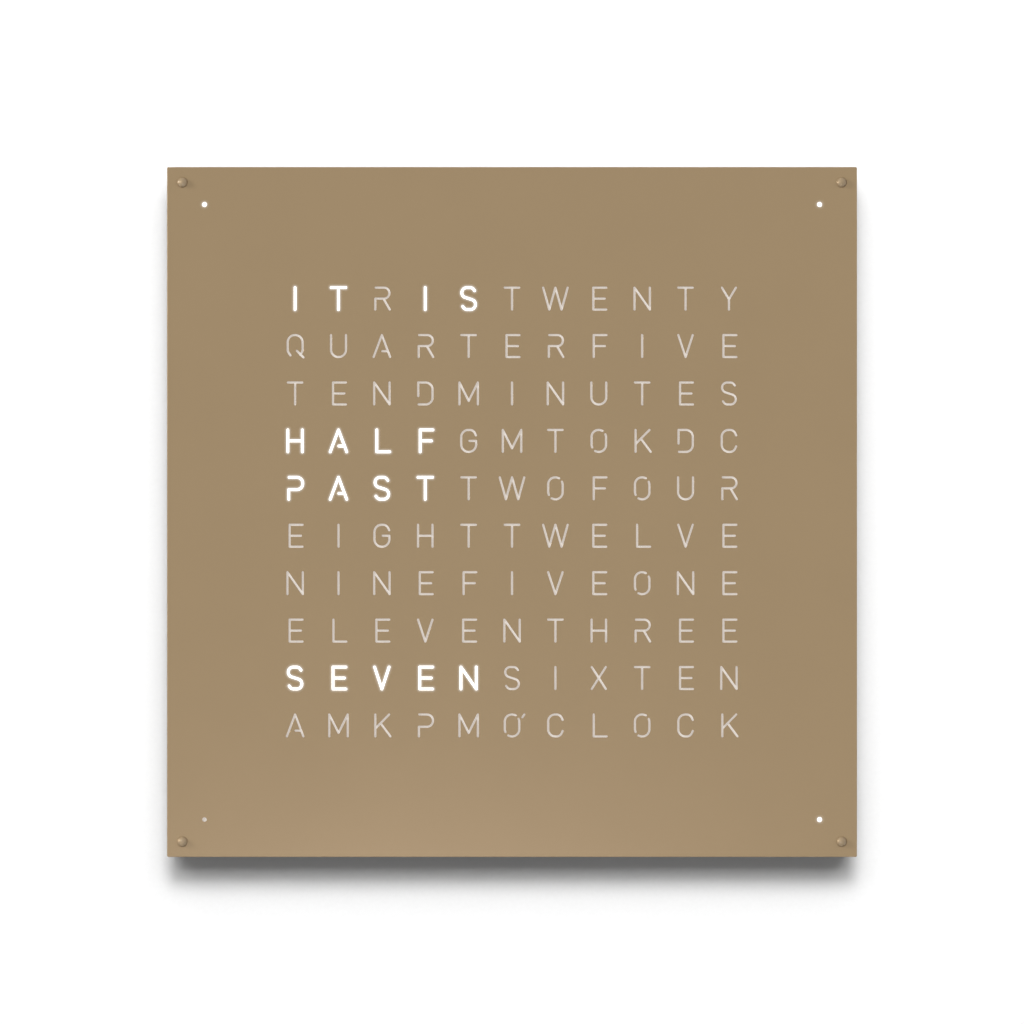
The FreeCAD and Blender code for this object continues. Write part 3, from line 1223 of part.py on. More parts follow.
def make_cover_pins():
    """Pins with a domed head in front of the cover, and the nuts behind it."""
    shank = rod("pin_shank", "dims.pin_diameter / 2", "layout.pin_length + dims.pin_head_height / 2",
                depth="-layout.pin_length")
    ball = document.addObject("Part::Sphere", "pin_ball")
    bind(ball, Radius="layout.head_ball")
    place(ball, depth="dims.pin_head_height - layout.head_ball")
    room = rod("pin_head_room", "dims.pin_head_diameter", "2 * dims.pin_head_height")
    dome = document.addObject("Part::Common", "pin_dome")
    dome.Base = ball
    dome.Tool = room
    pin = fuse("pin_pattern", shank, dome)
    hexagon = document.addObject("Part::Prism", "nut_hexagon")
    hexagon.Placement.Rotation = TURNS["depth"]
    hexagon.Polygon = 6
    bind(hexagon, Circumradius="layout.nut_circle", Height="dims.nut_height")
    thread = rod("nut_thread", "dims.pin_diameter / 2 + dims.seat_clearance", "dims.nut_height")
    nut = cut("nut_pattern", hexagon, thread)
    places = corner_places(layout.pin_place, layout.pin_place)
    return [copies("cover_pins", pin, places, layout.cover_depth + dims.cover_thickness),
            copies("pin_nuts", nut, places, layout.cover_depth - dims.nut_height)]


# ---------------------------------------------------------------------------------------------
# Build, check and write
# ---------------------------------------------------------------------------------------------
def build_nodes():
    nodes = [make_wall_bracket(), make_rear_shell(), make_hanger_rail(), make_rail_rivets(),
             make_wall_bumpers(), make_lamp_board(), make_letter_lamps(), make_lamp_drivers(),
             make_light_grid(), make_diffuser(), make_grid_screws(), make_diffuser_screws(),
             make_mark_boards(), make_mark_lamps(), make_light_wells(), make_mark_screws(),
             make_lead_plugs(), make_mark_leads(), make_main_board(), make_board_screws()]
    nodes += make_power_jack() + make_board_parts() + [make_capacitors()] + make_ribbon()
    nodes += make_antenna() + make_receiver() + make_buttons() + [make_switches()]
    nodes += make_light_sensor() + make_sockets() + [make_cover()] + make_cover_pins()
    return nodes


def check(nodes):
    """Stop if any object failed, or a node's shape is empty or invalid."""
    for item in document.Objects:
        if "Invalid" in item.State or "Error" in item.State:
            raise RuntimeError(f"{item.Label} failed: {item.State}")
    for node in nodes:
        if node.Shape.isNull() or not node.Shape.isValid():
            raise RuntimeError(f"{node.Label} has no valid shape")
        if not node.Shape.Solids:
            raise RuntimeError(f"{node.Label} has no solid")


nodes = build_nodes()
document.recompute()
check(nodes)
for node in nodes:
    node.Shape.exportStep(f"parts/{node.Label}.step")
    print(f"{node.Label}: {len(node.Shape.Solids)} solids, {node.Shape.Volume:.1f} mm3")
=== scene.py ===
import json
import math

import bmesh
import bpy
from mathutils import Euler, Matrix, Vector


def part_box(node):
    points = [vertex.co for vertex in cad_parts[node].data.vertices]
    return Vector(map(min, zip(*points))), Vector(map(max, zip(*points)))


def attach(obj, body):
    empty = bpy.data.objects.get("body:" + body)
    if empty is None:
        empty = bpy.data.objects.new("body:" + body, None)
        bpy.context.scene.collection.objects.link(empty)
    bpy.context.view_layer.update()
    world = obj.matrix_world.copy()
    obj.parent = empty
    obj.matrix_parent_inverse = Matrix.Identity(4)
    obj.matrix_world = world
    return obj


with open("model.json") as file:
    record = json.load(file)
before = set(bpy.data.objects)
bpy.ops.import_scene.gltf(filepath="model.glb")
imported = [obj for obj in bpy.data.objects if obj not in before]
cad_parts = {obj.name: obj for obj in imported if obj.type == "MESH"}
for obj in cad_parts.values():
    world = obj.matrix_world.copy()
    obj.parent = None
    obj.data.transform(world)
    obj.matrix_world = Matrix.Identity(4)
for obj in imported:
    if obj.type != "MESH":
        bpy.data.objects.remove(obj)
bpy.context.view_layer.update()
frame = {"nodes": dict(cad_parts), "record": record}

NODES = frame["nodes"]
MM = 0.001

# ---------------------------------------------------------------------------------------------
# Sizes of the clock's face that the light and the glow follow, in metres
# ---------------------------------------------------------------------------------------------
COVER_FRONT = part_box("front_cover")[0].y
DIFFUSER_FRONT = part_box("diffuser_sheet")[0].y
PITCH_X = 28.3 * MM             # from letter to letter
PITCH_Z = 30.94 * MM
COLUMNS = 11
ROWS = 10
CELL_X = 27.1 * MM              # inside of a light grid cell
CELL_Z = 29.74 * MM
MARK_PLACE = 200.6 * MM         # minute marks, from the clock's centre
WELL_RADIUS = 5.0 * MM          # inside of a minute mark's light well

# The lit letters, as (row, first column, last column), and the lit minute marks, as signs of x and z
LIT_WORDS = ((0, 0, 1), (0, 3, 4), (3, 0, 3), (4, 0, 3), (8, 0, 4))
LIT_MARKS = ((-1, 1), (1, 1), (1, -1))


# ---------------------------------------------------------------------------------------------
# Node helpers
# ---------------------------------------------------------------------------------------------
class Shader:
    """One material's node tree, with short calls for the nodes that it uses."""

    def __init__(self, name):
        self.material = bpy.data.materials.new(name)
        self.material.use_nodes = True
        self.tree = self.material.node_tree
        self.tree.nodes.clear()
        self.output = self.tree.nodes.new("ShaderNodeOutputMaterial")
        self.place = None

    def node(self, kind, inputs=None, **settings):
        """A node of that kind; an input's value is a number, a tuple or another node's socket."""
        made = self.tree.nodes.new("ShaderNode" + kind)
        for key, value in settings.items():
            setattr(made, key, value)
        for key, value in (inputs or {}).items():
            if isinstance(value, bpy.types.NodeSocket):
                self.tree.links.new(value, made.inputs[key])
            else:
                made.inputs[key].default_value = value
        return made

    def coordinates(self, stretch=(1, 1, 1)):
        """Object coordinates in metres, each multiplied by its own factor."""
        if self.place is None:
            self.place = self.node("TexCoord").outputs["Object"]
        if stretch == (1, 1, 1):
            return self.place
        return self.node("Mapping", {"Vector": self.place, "Scale": stretch}).outputs["Vector"]

    def noise(self, size, detail=2.0, roughness=0.5, stretch=(1, 1, 1)):
        """Noise from 0 to 1 whose blobs are about size metres across."""
        made = self.node("TexNoise", {"Vector": self.coordinates(stretch), "Scale": 1 / size,
                                      "Detail": detail, "Roughness": roughness})
        return made.outputs["Fac"]

    def remap(self, value, low, high, from_low=0.3, from_high=0.7):
        """value spread over low to high, clamped."""
        made = self.node("MapRange", {"Value": value, "From Min": from_low, "From Max": from_high,
                                      "To Min": low, "To Max": high})
        return made.outputs["Result"]

    def math(self, operation, a, b=0.0):
        """The result of a Math node."""
        made = self.node("Math", {0: a, 1: b}, operation=operation)
        return made.outputs["Value"]

    def mix(self, factor, a, b):
        """Colours a and b mixed by factor."""
        made = self.node("Mix", {0: factor, 6: a, 7: b}, data_type="RGBA")
        return made.outputs[2]

    def bump(self, height, distance, edge=0.0):
        """A normal with that relief; edge is the radius that sharp edges seem rounded to."""
        inputs = {"Height": height, "Distance": distance, "Strength": 1.0}
        if edge:
            inputs["Normal"] = self.node("Bevel", {"Radius": edge}, samples=4).outputs["Normal"]
        return self.node("Bump", inputs).outputs["Normal"]

    def principled(self, **inputs):
        """The surface; an input's name has its spaces written as _."""
        named = {key.replace("_", " "): value for key, value in inputs.items()}
        self.surface(self.node("BsdfPrincipled", named).outputs[0])

    def surface(self, socket):
        """Lets that shader reach the output."""
        self.tree.links.new(socket, self.output.inputs["Surface"])


def tone(colour, factor=1.0):
    """A colour socket's value, brighter or darker by factor."""
    return tuple(min(c * factor, 1.0) for c in colour[:3]) + (1.0,)


# ---------------------------------------------------------------------------------------------
# Materials
# ---------------------------------------------------------------------------------------------
COAT_COLOUR = (0.338, 0.241, 0.134)


def cover_coat(name, metallic, clear_coat):
    """Satin bronze-gold metallic coat: a very fine grain in its colour, gloss and relief."""
    s = Shader(name)
    grain = s.noise(0.22 * MM, detail=3, roughness=0.7)
    cloud = s.noise(60 * MM, detail=2)
    base = s.mix(s.remap(grain, 0, 1), tone(COAT_COLOUR, 0.97), tone(COAT_COLOUR, 1.03))
    base = s.mix(s.remap(cloud, 0, 1), base, tone(COAT_COLOUR, 1.02))
    s.principled(Base_Color=base, Metallic=metallic, Roughness=s.remap(grain, 0.27, 0.33),
                 Coat_Weight=clear_coat, Coat_Roughness=0.08,
                 Normal=s.bump(grain, 0.0012 * MM, edge=0.25 * MM))
    return s.material


def moulded(name, colour, roughness, grain_size, relief, edge=0.25 * MM):
    """Moulded plastic or rubber with a spark-eroded texture, faint flow marks and soft edges."""
    s = Shader(name)
    texture = s.noise(grain_size, detail=4, roughness=0.65)
    flow = s.noise(38 * MM, detail=3, stretch=(1, 1, 0.35))
    base = s.mix(s.remap(texture, 0, 1), tone(colour, 0.88), tone(colour, 1.12))
    base = s.mix(s.math("MULTIPLY", s.remap(flow, 0, 1), 0.35), base, tone(colour, 1.25))
    gloss = s.math("ADD", s.remap(flow, -0.04, 0.04), s.remap(texture, roughness - 0.06, roughness + 0.06))
    s.principled(Base_Color=base, Roughness=gloss, Normal=s.bump(texture, relief, edge=edge))
    return s.material


def metal(name, colour, roughness, streak, streak_size, stain):
    """Metal with fine lines along the axis that streak squeezes, and a cloudy finish."""
    s = Shader(name)
    lines = s.noise(streak_size, detail=3, roughness=0.6, stretch=streak)
    cloud = s.noise(9 * MM, detail=4, roughness=0.6)
    base = s.mix(s.remap(lines, 0, 1), tone(colour, 0.93), tone(colour, 1.05))
    base = s.mix(s.remap(cloud, 0, stain), base, tone(colour, 0.55))
    gloss = s.math("ADD", s.remap(cloud, -0.04, 0.06), s.remap(lines, roughness - 0.05, roughness + 0.05))
    s.principled(Base_Color=base, Metallic=1.0, Roughness=gloss,
                 Normal=s.bump(lines, 0.004 * MM, edge=0.15 * MM))
    return s.material


def laminate(name, mask, trace):
    """A printed circuit board: solder mask over copper traces, with a woven glass relief."""
    s = Shader(name)
    weave = s.noise(0.6 * MM, detail=2)
    upright = s.node("Mapping", {"Vector": s.coordinates(), "Rotation": (math.pi / 2, 0, 0)})
    traces = s.node("TexBrick", {"Vector": upright.outputs["Vector"], "Scale": 1 / (9 * MM),
                                 "Mortar Size": 0.035, "Mortar Smooth": 0.2, "Brick Width": 1.7,
                                 "Row Height": 0.45}, offset=0.37, squash=0.6)
    track = traces.outputs["Fac"]
    base = s.mix(track, tone(mask), tone(trace))
    base = s.mix(s.remap(weave, 0, 0.12), base, tone(mask, 0.7))
    height = s.math("ADD", s.math("MULTIPLY", track, 0.8), s.math("MULTIPLY", weave, 0.2))
    s.principled(Base_Color=base, Roughness=s.remap(weave, 0.22, 0.32), Coat_Weight=0.3, Coat_Roughness=0.15,
                 Normal=s.bump(height, 0.03 * MM, edge=0.1 * MM))
    return s.material


WALL_LINE = 0.07        # half the width of the painted shade along a cell wall, as a share of the pitch
WALL_SHADE = 0.35       # how far that painted shade goes towards its own colour


def opal_sheet():
    """The opal diffuser: milky, with a painted glow all over that stands for the light of the lamps behind
    it, and painted faint shade along the cells' walls.
    """
    s = Shader("opal_acrylic")
    cloud = s.noise(6 * MM, detail=2)
    mottle = s.noise(0.8 * MM, detail=2)
    split = s.node("SeparateXYZ", {0: s.coordinates()})
    walls = covered = None
    for axis, pitch, count in (("X", PITCH_X, COLUMNS), ("Z", PITCH_Z, ROWS)):
        shift = 0.5 * (count % 2)
        cell = s.math("ADD", s.math("DIVIDE", split.outputs[axis], pitch), shift)
        away = s.math("ABSOLUTE", s.math("SUBTRACT", s.math("FRACT", s.math("ADD", cell, 0.5)), 0.5))
        wall = s.remap(away, 1, 0, 0.0, WALL_LINE)
        inside = s.math("LESS_THAN", s.math("ABSOLUTE", split.outputs[axis]), (count + 0.2) / 2 * pitch)
        walls = wall if walls is None else s.math("MAXIMUM", walls, wall)
        covered = inside if covered is None else s.math("MULTIPLY", covered, inside)
    walls = s.math("MULTIPLY", walls, covered)
    base = s.mix(s.remap(cloud, 0, 1), (0.49, 0.475, 0.45, 1), (0.52, 0.505, 0.48, 1))
    glow = s.mix(s.remap(mottle, 0, 1), (0.65, 0.59, 0.54, 1), (0.71, 0.65, 0.60, 1))
    # Painted shade: the painted glow darkens along the cells' walls
    glow = s.mix(s.math("MULTIPLY", walls, WALL_SHADE), glow, (0.32, 0.30, 0.285, 1))
    s.principled(Base_Color=base, Roughness=s.remap(cloud, 0.42, 0.5), Emission_Color=glow,
                 Emission_Strength=0.75, Normal=s.bump(mottle, 0.01 * MM, edge=0.1 * MM))
    return s.material


def clear_resin(name, colour):
    """Clear moulded resin with a faint tint and ripple."""
    s = Shader(name)
    ripple = s.noise(1.5 * MM, detail=2)
    base = s.mix(s.remap(ripple, 0, 1), tone(colour, 0.94), tone(colour, 1.0))
    s.principled(Base_Color=base, Roughness=s.remap(ripple, 0.08, 0.14), Transmission_Weight=0.85, IOR=1.49,
                 Normal=s.bump(ripple, 0.01 * MM, edge=0.1 * MM))
    return s.material


def lamp_resin():
    """A lamp's cast: pale yellow phosphor under a clear skin, faintly glowing."""
    s = Shader("lamp_resin")
    speck = s.noise(0.25 * MM, detail=3)
    base = s.mix(s.remap(speck, 0, 1), (0.86, 0.82, 0.55, 1), (0.93, 0.88, 0.66, 1))
    s.principled(Base_Color=base, Roughness=s.remap(speck, 0.18, 0.3), Coat_Weight=0.6, Coat_Roughness=0.08,
                 Emission_Color=(1.0, 0.93, 0.8, 1), Emission_Strength=0.15,
                 Normal=s.bump(speck, 0.01 * MM, edge=0.15 * MM))
    return s.material


def winding():
    """Enamelled copper wire wound round the antenna's rod, turn beside turn, with painted shade in the
    grooves between the turns.
    """
    s = Shader("copper_wire")
    turns = s.node("TexWave", {"Vector": s.coordinates(), "Scale": 1 / (3.2 * MM), "Distortion": 0.4,
                               "Detail": 1.0, "Detail Scale": 2.0}, bands_direction="Z").outputs["Fac"]
    cloud = s.noise(3 * MM, detail=2)
    # Painted shade: the colour darkens in the grooves between the turns, where the relief is lowest
    base = s.mix(turns, (0.30, 0.12, 0.045, 1), (0.74, 0.35, 0.15, 1))
    base = s.mix(s.remap(cloud, 0, 0.25), base, (0.45, 0.19, 0.08, 1))
    s.principled(Base_Color=base, Metallic=0.85, Roughness=s.remap(cloud, 0.22, 0.34),
                 Normal=s.bump(turns, 0.12 * MM))
    return s.material


def ribbon_jacket():
    """The ribbon cable and the leads: soft jackets, ribbed where the conductors lie side by side, with
    painted shade in the grooves between the ribs.
    """
    s = Shader("lead_jacket")
    ribs = s.node("TexWave", {"Vector": s.coordinates(), "Scale": 1 / (4.0 * MM)},
                  bands_direction="X").outputs["Fac"]
    cloud = s.noise(2 * MM, detail=2)
    base = s.mix(s.remap(cloud, 0, 1), (0.66, 0.66, 0.65, 1), (0.76, 0.76, 0.75, 1))
    # Painted shade: the jacket darkens in the grooves between the ribs
    base = s.mix(s.remap(ribs, 0.25, 0.0, 0.0, 0.5), base, (0.30, 0.30, 0.31, 1))
    s.principled(Base_Color=base, Roughness=s.remap(cloud, 0.42, 0.55), Normal=s.bump(ribs, 0.1 * MM))
    return s.material


def light_panel():
    """Light from the lamp behind a cell, as it leaves the opal sheet; it falls off to the cell's walls."""
    s = Shader("lit_cell")
    level = s.node("Attribute", attribute_name="level").outputs["Fac"]
    mottle = s.noise(0.8 * MM, detail=2)
    strength = s.math("MULTIPLY", s.remap(level, 0.95, 2.6, 0.0, 1.0), s.remap(mottle, 0.97, 1.03))
    s.principled(Base_Color=(0.6, 0.6, 0.6, 1), Roughness=0.45, Emission_Color=(1.0, 0.985, 0.95, 1),
                 Emission_Strength=strength)
    return s.material


def glow_film():
    """Painted light: the bright rim that a lit opening throws on the coat round it, drawn as a glowing film
    that fades outwards.
    """
    s = Shader("glow_rim")
    level = s.node("Attribute", attribute_name="level").outputs["Fac"]
    grain = s.noise(0.5 * MM, detail=2)
    share = s.math("MULTIPLY", level, s.remap(grain, 0.96, 1.0))
    shine = s.node("Emission", {"Color": (1.0, 0.99, 0.965, 1), "Strength": 1.15}).outputs[0]
    clear = s.node("BsdfTransparent").outputs[0]
    s.surface(s.node("MixShader", {0: share, 1: clear, 2: shine}).outputs[0])
    return s.material


BRUSHED_ALONG_X = (0.02, 1, 1)
TURNED = (1, 0.06, 1)           # fine lines along Y, the axis of the bushes
SCREW_LINES = (1, 1, 0.1)
MATERIALS = {
    "cover_coat": cover_coat("cover_coat", metallic=0.62, clear_coat=0.0),
    "shell_plastic": moulded("shell_plastic", (0.045, 0.045, 0.048), roughness=0.55, grain_size=0.7 * MM,
                             relief=0.03 * MM),
    "bumper_rubber": moulded("bumper_rubber", (0.030, 0.030, 0.031), roughness=0.78, grain_size=0.9 * MM,
                             relief=0.04 * MM),
    "white_plastic": moulded("white_plastic", (0.86, 0.86, 0.85), roughness=0.42, grain_size=0.6 * MM,
                             relief=0.01 * MM),
    "chip_epoxy": moulded("chip_epoxy", (0.028, 0.028, 0.031), roughness=0.5, grain_size=0.3 * MM,
                          relief=0.01 * MM, edge=0.1 * MM),
    "black_plastic": moulded("black_plastic", (0.022, 0.022, 0.024), roughness=0.3, grain_size=0.6 * MM,
                             relief=0.008 * MM),
    "grey_plastic": moulded("grey_plastic", (0.31, 0.31, 0.32), roughness=0.45, grain_size=0.4 * MM,
                            relief=0.012 * MM),
    "ferrite": moulded("ferrite", (0.085, 0.08, 0.08), roughness=0.6, grain_size=0.35 * MM,
                       relief=0.02 * MM),
    "bracket_steel": metal("bracket_steel", (0.60, 0.60, 0.61), roughness=0.34, streak=BRUSHED_ALONG_X,
                           streak_size=0.9 * MM, stain=0.04),
    "fastener_steel": metal("fastener_steel", (0.58, 0.585, 0.60), roughness=0.28, streak=SCREW_LINES,
                            streak_size=0.3 * MM, stain=0.15),
    "brass": metal("brass", (0.72, 0.55, 0.24), roughness=0.26, streak=TURNED, streak_size=0.2 * MM,
                   stain=0.12),
    "nickel": metal("nickel", (0.70, 0.685, 0.65), roughness=0.2, streak=(1, 0.1, 1),
                    streak_size=0.25 * MM, stain=0.06),
    "can_aluminium": metal("can_aluminium", (0.80, 0.80, 0.81), roughness=0.24, streak=(1, 0.05, 1),
                           streak_size=0.2 * MM, stain=0.05),
    "board_laminate": laminate("board_laminate", mask=(0.84, 0.84, 0.82), trace=(0.74, 0.74, 0.71)),
    "green_laminate": laminate("green_laminate", mask=(0.018, 0.14, 0.06), trace=(0.035, 0.22, 0.09)),
    "opal_acrylic": opal_sheet(),
    "clear_plastic": clear_resin("clear_plastic", (0.82, 0.85, 0.87)),
    "lamp_resin": lamp_resin(),
    "copper_wire": winding(),
    "lead_jacket": ribbon_jacket(),
}
for row in frame["record"]["subparts"]:
    node = NODES[row["node"]]
    node.data.materials.clear()
    node.data.materials.append(MATERIALS[row["material_slot"]])
# The pins have the same coat over less metal, with a glossier skin that shows small highlights
NODES["cover_pins"].data.materials.clear()
NODES["cover_pins"].data.materials.append(cover_coat("pin_coat", metallic=0.36, clear_coat=0.6))


# ---------------------------------------------------------------------------------------------
# The light of the lit letters and marks
# ---------------------------------------------------------------------------------------------
def cell_centre(row, column):
    """Centre of a letter's cell, seen from the front."""
    return Vector(((column - (COLUMNS - 1) / 2) * PITCH_X, 0, ((ROWS - 1) / 2 - row) * PITCH_Z))


LIT_CELLS = [(row, column) for row, first, last in LIT_WORDS for column in range(first, last + 1)]
LIT_PLACES = [cell_centre(row, column) for row, column in LIT_CELLS]
LIT_MARK_PLACES = [Vector((x * MARK_PLACE, 0, z * MARK_PLACE)) for x, z in LIT_MARKS]


def mesh_piece(name, mesh_maker, material, body):
    """A piece whose mesh mesh_maker fills, with its point attribute "level"."""
    mesh = bpy.data.meshes.new(name)
    build = bmesh.new()
    level = build.verts.layers.float.new("level")
    mesh_maker(build, level)
    build.to_mesh(mesh)
    build.free()
    mesh.materials.append(material)
    piece = bpy.data.objects.new(name, mesh)
    bpy.context.scene.collection.objects.link(piece)
    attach(piece, body)
    return piece


PANEL_Y = DIFFUSER_FRONT - 0.05 * MM
PANEL_STEPS = 12
MARK_RINGS = 4
MARK_SIDES = 32


def fall_off(across, up):
    """Brightness inside a cell, from 1 at its middle to 0 in its corners; across and up go from -1 to 1."""
    return max(0.0, 1 - 0.5 * (across ** 4 + up ** 4) - 0.25 * (across ** 2 + up ** 2))


def lit_panels(build, level):
    """A flat panel in front of the diffuser for each lit letter's cell."""
    for centre in LIT_PLACES:
        grid = []
        for j in range(PANEL_STEPS + 1):
            up = 2 * j / PANEL_STEPS - 1
            line = []
            for i in range(PANEL_STEPS + 1):
                across = 2 * i / PANEL_STEPS - 1
                vert = build.verts.new((centre.x + across * CELL_X / 2, PANEL_Y, centre.z + up * CELL_Z / 2))
                vert[level] = fall_off(across, up)
                line.append(vert)
            grid.append(line)
        for below, above in zip(grid, grid[1:]):
            for i in range(PANEL_STEPS):
                build.faces.new((below[i], below[i + 1], above[i + 1], above[i]))


def lit_mark_panels(build, level):
    """A flat disc in front of the diffuser for each lit minute mark."""
    for centre in LIT_MARK_PLACES:
        middle = build.verts.new((centre.x, PANEL_Y, centre.z))
        middle[level] = 1.0
        before = None
        for ring in range(1, MARK_RINGS + 1):
            share = ring / MARK_RINGS
            line = []
            for k in range(MARK_SIDES):
                turn = 2 * math.pi * k / MARK_SIDES
                vert = build.verts.new((centre.x + math.cos(turn) * share * WELL_RADIUS, PANEL_Y,
                                        centre.z + math.sin(turn) * share * WELL_RADIUS))
                vert[level] = 1 - 0.6 * share ** 3
                line.append(vert)
            for k in range(MARK_SIDES):
                m = (k + 1) % MARK_SIDES
                if before is None:
                    build.faces.new((middle, line[k], line[m]))
                else:
                    build.faces.new((before[k], line[k], line[m], before[m]))
            before = line


COVER_WELD = 0.002 * MM     # the cover's vertices nearer to each other than this are one


def front_openings():
    """The outlines of the openings in the cover's front plane, each as points (x, z) in order."""
    mesh = NODES["front_cover"].data
    build = bmesh.new()
    build.from_mesh(mesh)
    bmesh.ops.remove_doubles(build, verts=build.verts, dist=COVER_WELD)
    build.normal_update()
    front = {f for f in build.faces
             if f.normal.y < -0.99 and abs(f.calc_center_median().y - COVER_FRONT) < 0.01 * MM}
    border = {}
    for face in front:
        for loop in face.loops:
            if not any(other in front for other in loop.edge.link_faces if other is not face):
                border.setdefault(loop.vert.index, []).append(loop.link_loop_next.vert.index)
    build.verts.ensure_lookup_table()
    loops = []
    while border:
        start = next(iter(border))
        line = [start]
        while True:
            following = border[line[-1]].pop()
            if not border[line[-1]]:
                del border[line[-1]]
            if following == start:
                break
            line.append(following)
        loops.append([(build.verts[i].co.x, build.verts[i].co.z) for i in line])
    build.free()
    return loops


def signed_area(line):
    """The area inside the closed line, negative where it runs clockwise."""
    return 0.5 * sum(a[0] * b[1] - b[0] * a[1] for a, b in zip(line, line[1:] + line[:1]))


MITRE_LIMIT = 0.2       # a corner moves outwards by distance over this, at most
FOLD_SHARE = 0.9        # a moved point nearer to the line than this share of distance lies in a fold


def outward(line, distance):
    """The closed line moved outwards by distance, with its corners mitred and no folds."""
    turn = 1 if signed_area(line) > 0 else -1
    count = len(line)
    moved = []
    for i in range(count):
        here = Vector(line[i])
        before = (here - Vector(line[i - 1])).normalized()
        after = (Vector(line[(i + 1) % count]) - here).normalized()
        normal = (Vector((before.y, -before.x)) + Vector((after.y, -after.x))) * turn
        normal.normalize()
        lean = max(MITRE_LIMIT, normal.dot(Vector((after.y, -after.x)) * turn))
        moved.append(here + normal * (distance / lean))
    points = [Vector(p) for p in line]
    for i, point in enumerate(moved):
        nearest = min(segment_distance(point, points[k], points[(k + 1) % count]) for k in range(count))
        if nearest < FOLD_SHARE * distance:
            moved[i] = None
    kept = [i for i in range(count) if moved[i] is not None]
    for i in range(count):
        if moved[i] is None:
            moved[i] = moved[min(kept, key=lambda k: min(abs(k - i), count - abs(k - i)))]
    return moved


def segment_distance(point, a, b):
    """How far point is from the straight run from a to b."""
    along = b - a
    share = max(0.0, min(1.0, (point - a).dot(along) / max(along.length_squared, 1e-18)))
    return (a + along * share - point).length


FILM_Y = COVER_FRONT - 0.02 * MM
FILM_WELD = 0.001 * MM


def film_maker(lines, steps):
    """A maker of flat rings round those lines; steps are (distance outwards, level), from the inside."""
    def fill(build, level):
        for line in lines:
            before = None
            for distance, amount in steps:
                ring = []
                for x, z in (line if distance == 0 else outward(line, distance)):
                    vert = build.verts.new((x, FILM_Y, z))
                    vert[level] = amount
                    ring.append(vert)
                if before:
                    count = len(ring)
                    for k in range(count):
                        m = (k + 1) % count
                        build.faces.new((before[k], before[m], ring[m], ring[k]))
                before = ring
        bmesh.ops.remove_doubles(build, verts=build.verts, dist=FILM_WELD)
        bmesh.ops.dissolve_degenerate(build, edges=build.edges, dist=FILM_WELD)
        bmesh.ops.recalc_face_normals(build, faces=build.faces)
    return fill


def inside(line, centre, half_x, half_z):
    """Whether the whole line lies in the rectangle round centre."""
    return all(abs(x - centre.x) < half_x and abs(z - centre.z) < half_z for x, z in line)


OPENINGS = front_openings()
LIT_OPENINGS = [line for line in OPENINGS
                if any(inside(line, c, CELL_X / 2, CELL_Z / 2) for c in LIT_PLACES)]
LIT_HOLES = [line for line in OPENINGS
             if any(inside(line, c, WELL_RADIUS, WELL_RADIUS) for c in LIT_MARK_PLACES)]

PANEL_MATERIAL = light_panel()
FILM_MATERIAL = glow_film()
# The painted glow round a lit opening, as (distance from its edge, share of the full glow)
LETTER_RIM = ((0, 0.9), (0.08 * MM, 0.62), (0.35 * MM, 0.35), (0.65 * MM, 0.17), (1.1 * MM, 0.075),
              (1.8 * MM, 0.0))
MARK_RIM = ((0, 0.9), (0.05 * MM, 0.5), (0.3 * MM, 0.2), (0.7 * MM, 0.09), (1.2 * MM, 0.04), (2.0 * MM, 0.0))
GLOW = [
    mesh_piece("lit_cells", lit_panels, PANEL_MATERIAL, "clock"),
    mesh_piece("lit_mark_spots", lit_mark_panels, PANEL_MATERIAL, "clock"),
    mesh_piece("letter_glow", film_maker(LIT_OPENINGS, LETTER_RIM), FILM_MATERIAL, "cover"),
    mesh_piece("mark_glow", film_maker(LIT_HOLES, MARK_RIM), FILM_MATERIAL, "cover"),
]


# ---------------------------------------------------------------------------------------------
# Studio: a white wall behind the clock, a pale floor, soft light and the camera
# ---------------------------------------------------------------------------------------------
def camera_like_rays(s):
    """1 for camera, glossy and transmission rays, otherwise 0."""
    path = s.node("LightPath")
    seen = s.math("MAXIMUM", path.outputs["Is Camera Ray"], path.outputs["Is Glossy Ray"])
    return s.math("MAXIMUM", seen, path.outputs["Is Transmission Ray"])


class WorldShader(Shader):
    """The world's node tree, with the same short calls."""

    def __init__(self, world):
        world.use_nodes = True
        self.tree = world.node_tree
        self.tree.nodes.clear()
        self.output = self.tree.nodes.new("ShaderNodeOutputWorld")
        self.place = None


AMBIENT = 0.19          # how bright the world is as a light; where it is seen, it is white
world = bpy.data.worlds.new("studio")
bpy.context.scene.world = world
sky = WorldShader(world)
sky_level = sky.remap(camera_like_rays(sky), AMBIENT, 1.0, 0.0, 1.0)
sky.surface(sky.node("Background", {"Color": (1, 1, 1, 1), "Strength": sky_level}).outputs[0])


def flat_stage(name, corners, material):
    """A flat surface of the studio, which isn't part of the clock."""
    mesh = bpy.data.meshes.new(name)
    mesh.from_pydata(corners, [], [tuple(range(len(corners)))])
    mesh.materials.append(material)
    made = bpy.data.objects.new(name, mesh)
    bpy.context.scene.collection.objects.link(made)
    return made


def wall_paint():
    """White paint seen from the front, and nothing from behind, so that the clock's back can be looked at."""
    s = Shader("wall_paint")
    tooth = s.noise(2.5 * MM, detail=2)
    white = s.mix(s.remap(tooth, 0, 1), (0.94, 0.94, 0.94, 1), (0.96, 0.96, 0.96, 1))
    paint = s.node("BsdfDiffuse", {"Color": white})
    clear = s.node("BsdfTransparent").outputs[0]
    behind = s.node("NewGeometry").outputs["Backfacing"]
    s.surface(s.node("MixShader", {0: behind, 1: paint.outputs[0], 2: clear}).outputs[0])
    return s.material


def floor_paint():
    """Pale matt floor."""
    s = Shader("floor_paint")
    tooth = s.noise(20 * MM, detail=3)
    s.principled(Base_Color=s.mix(s.remap(tooth, 0, 1), (0.90, 0.90, 0.89, 1), (0.94, 0.94, 0.93, 1)),
                 Roughness=0.7)
    return s.material


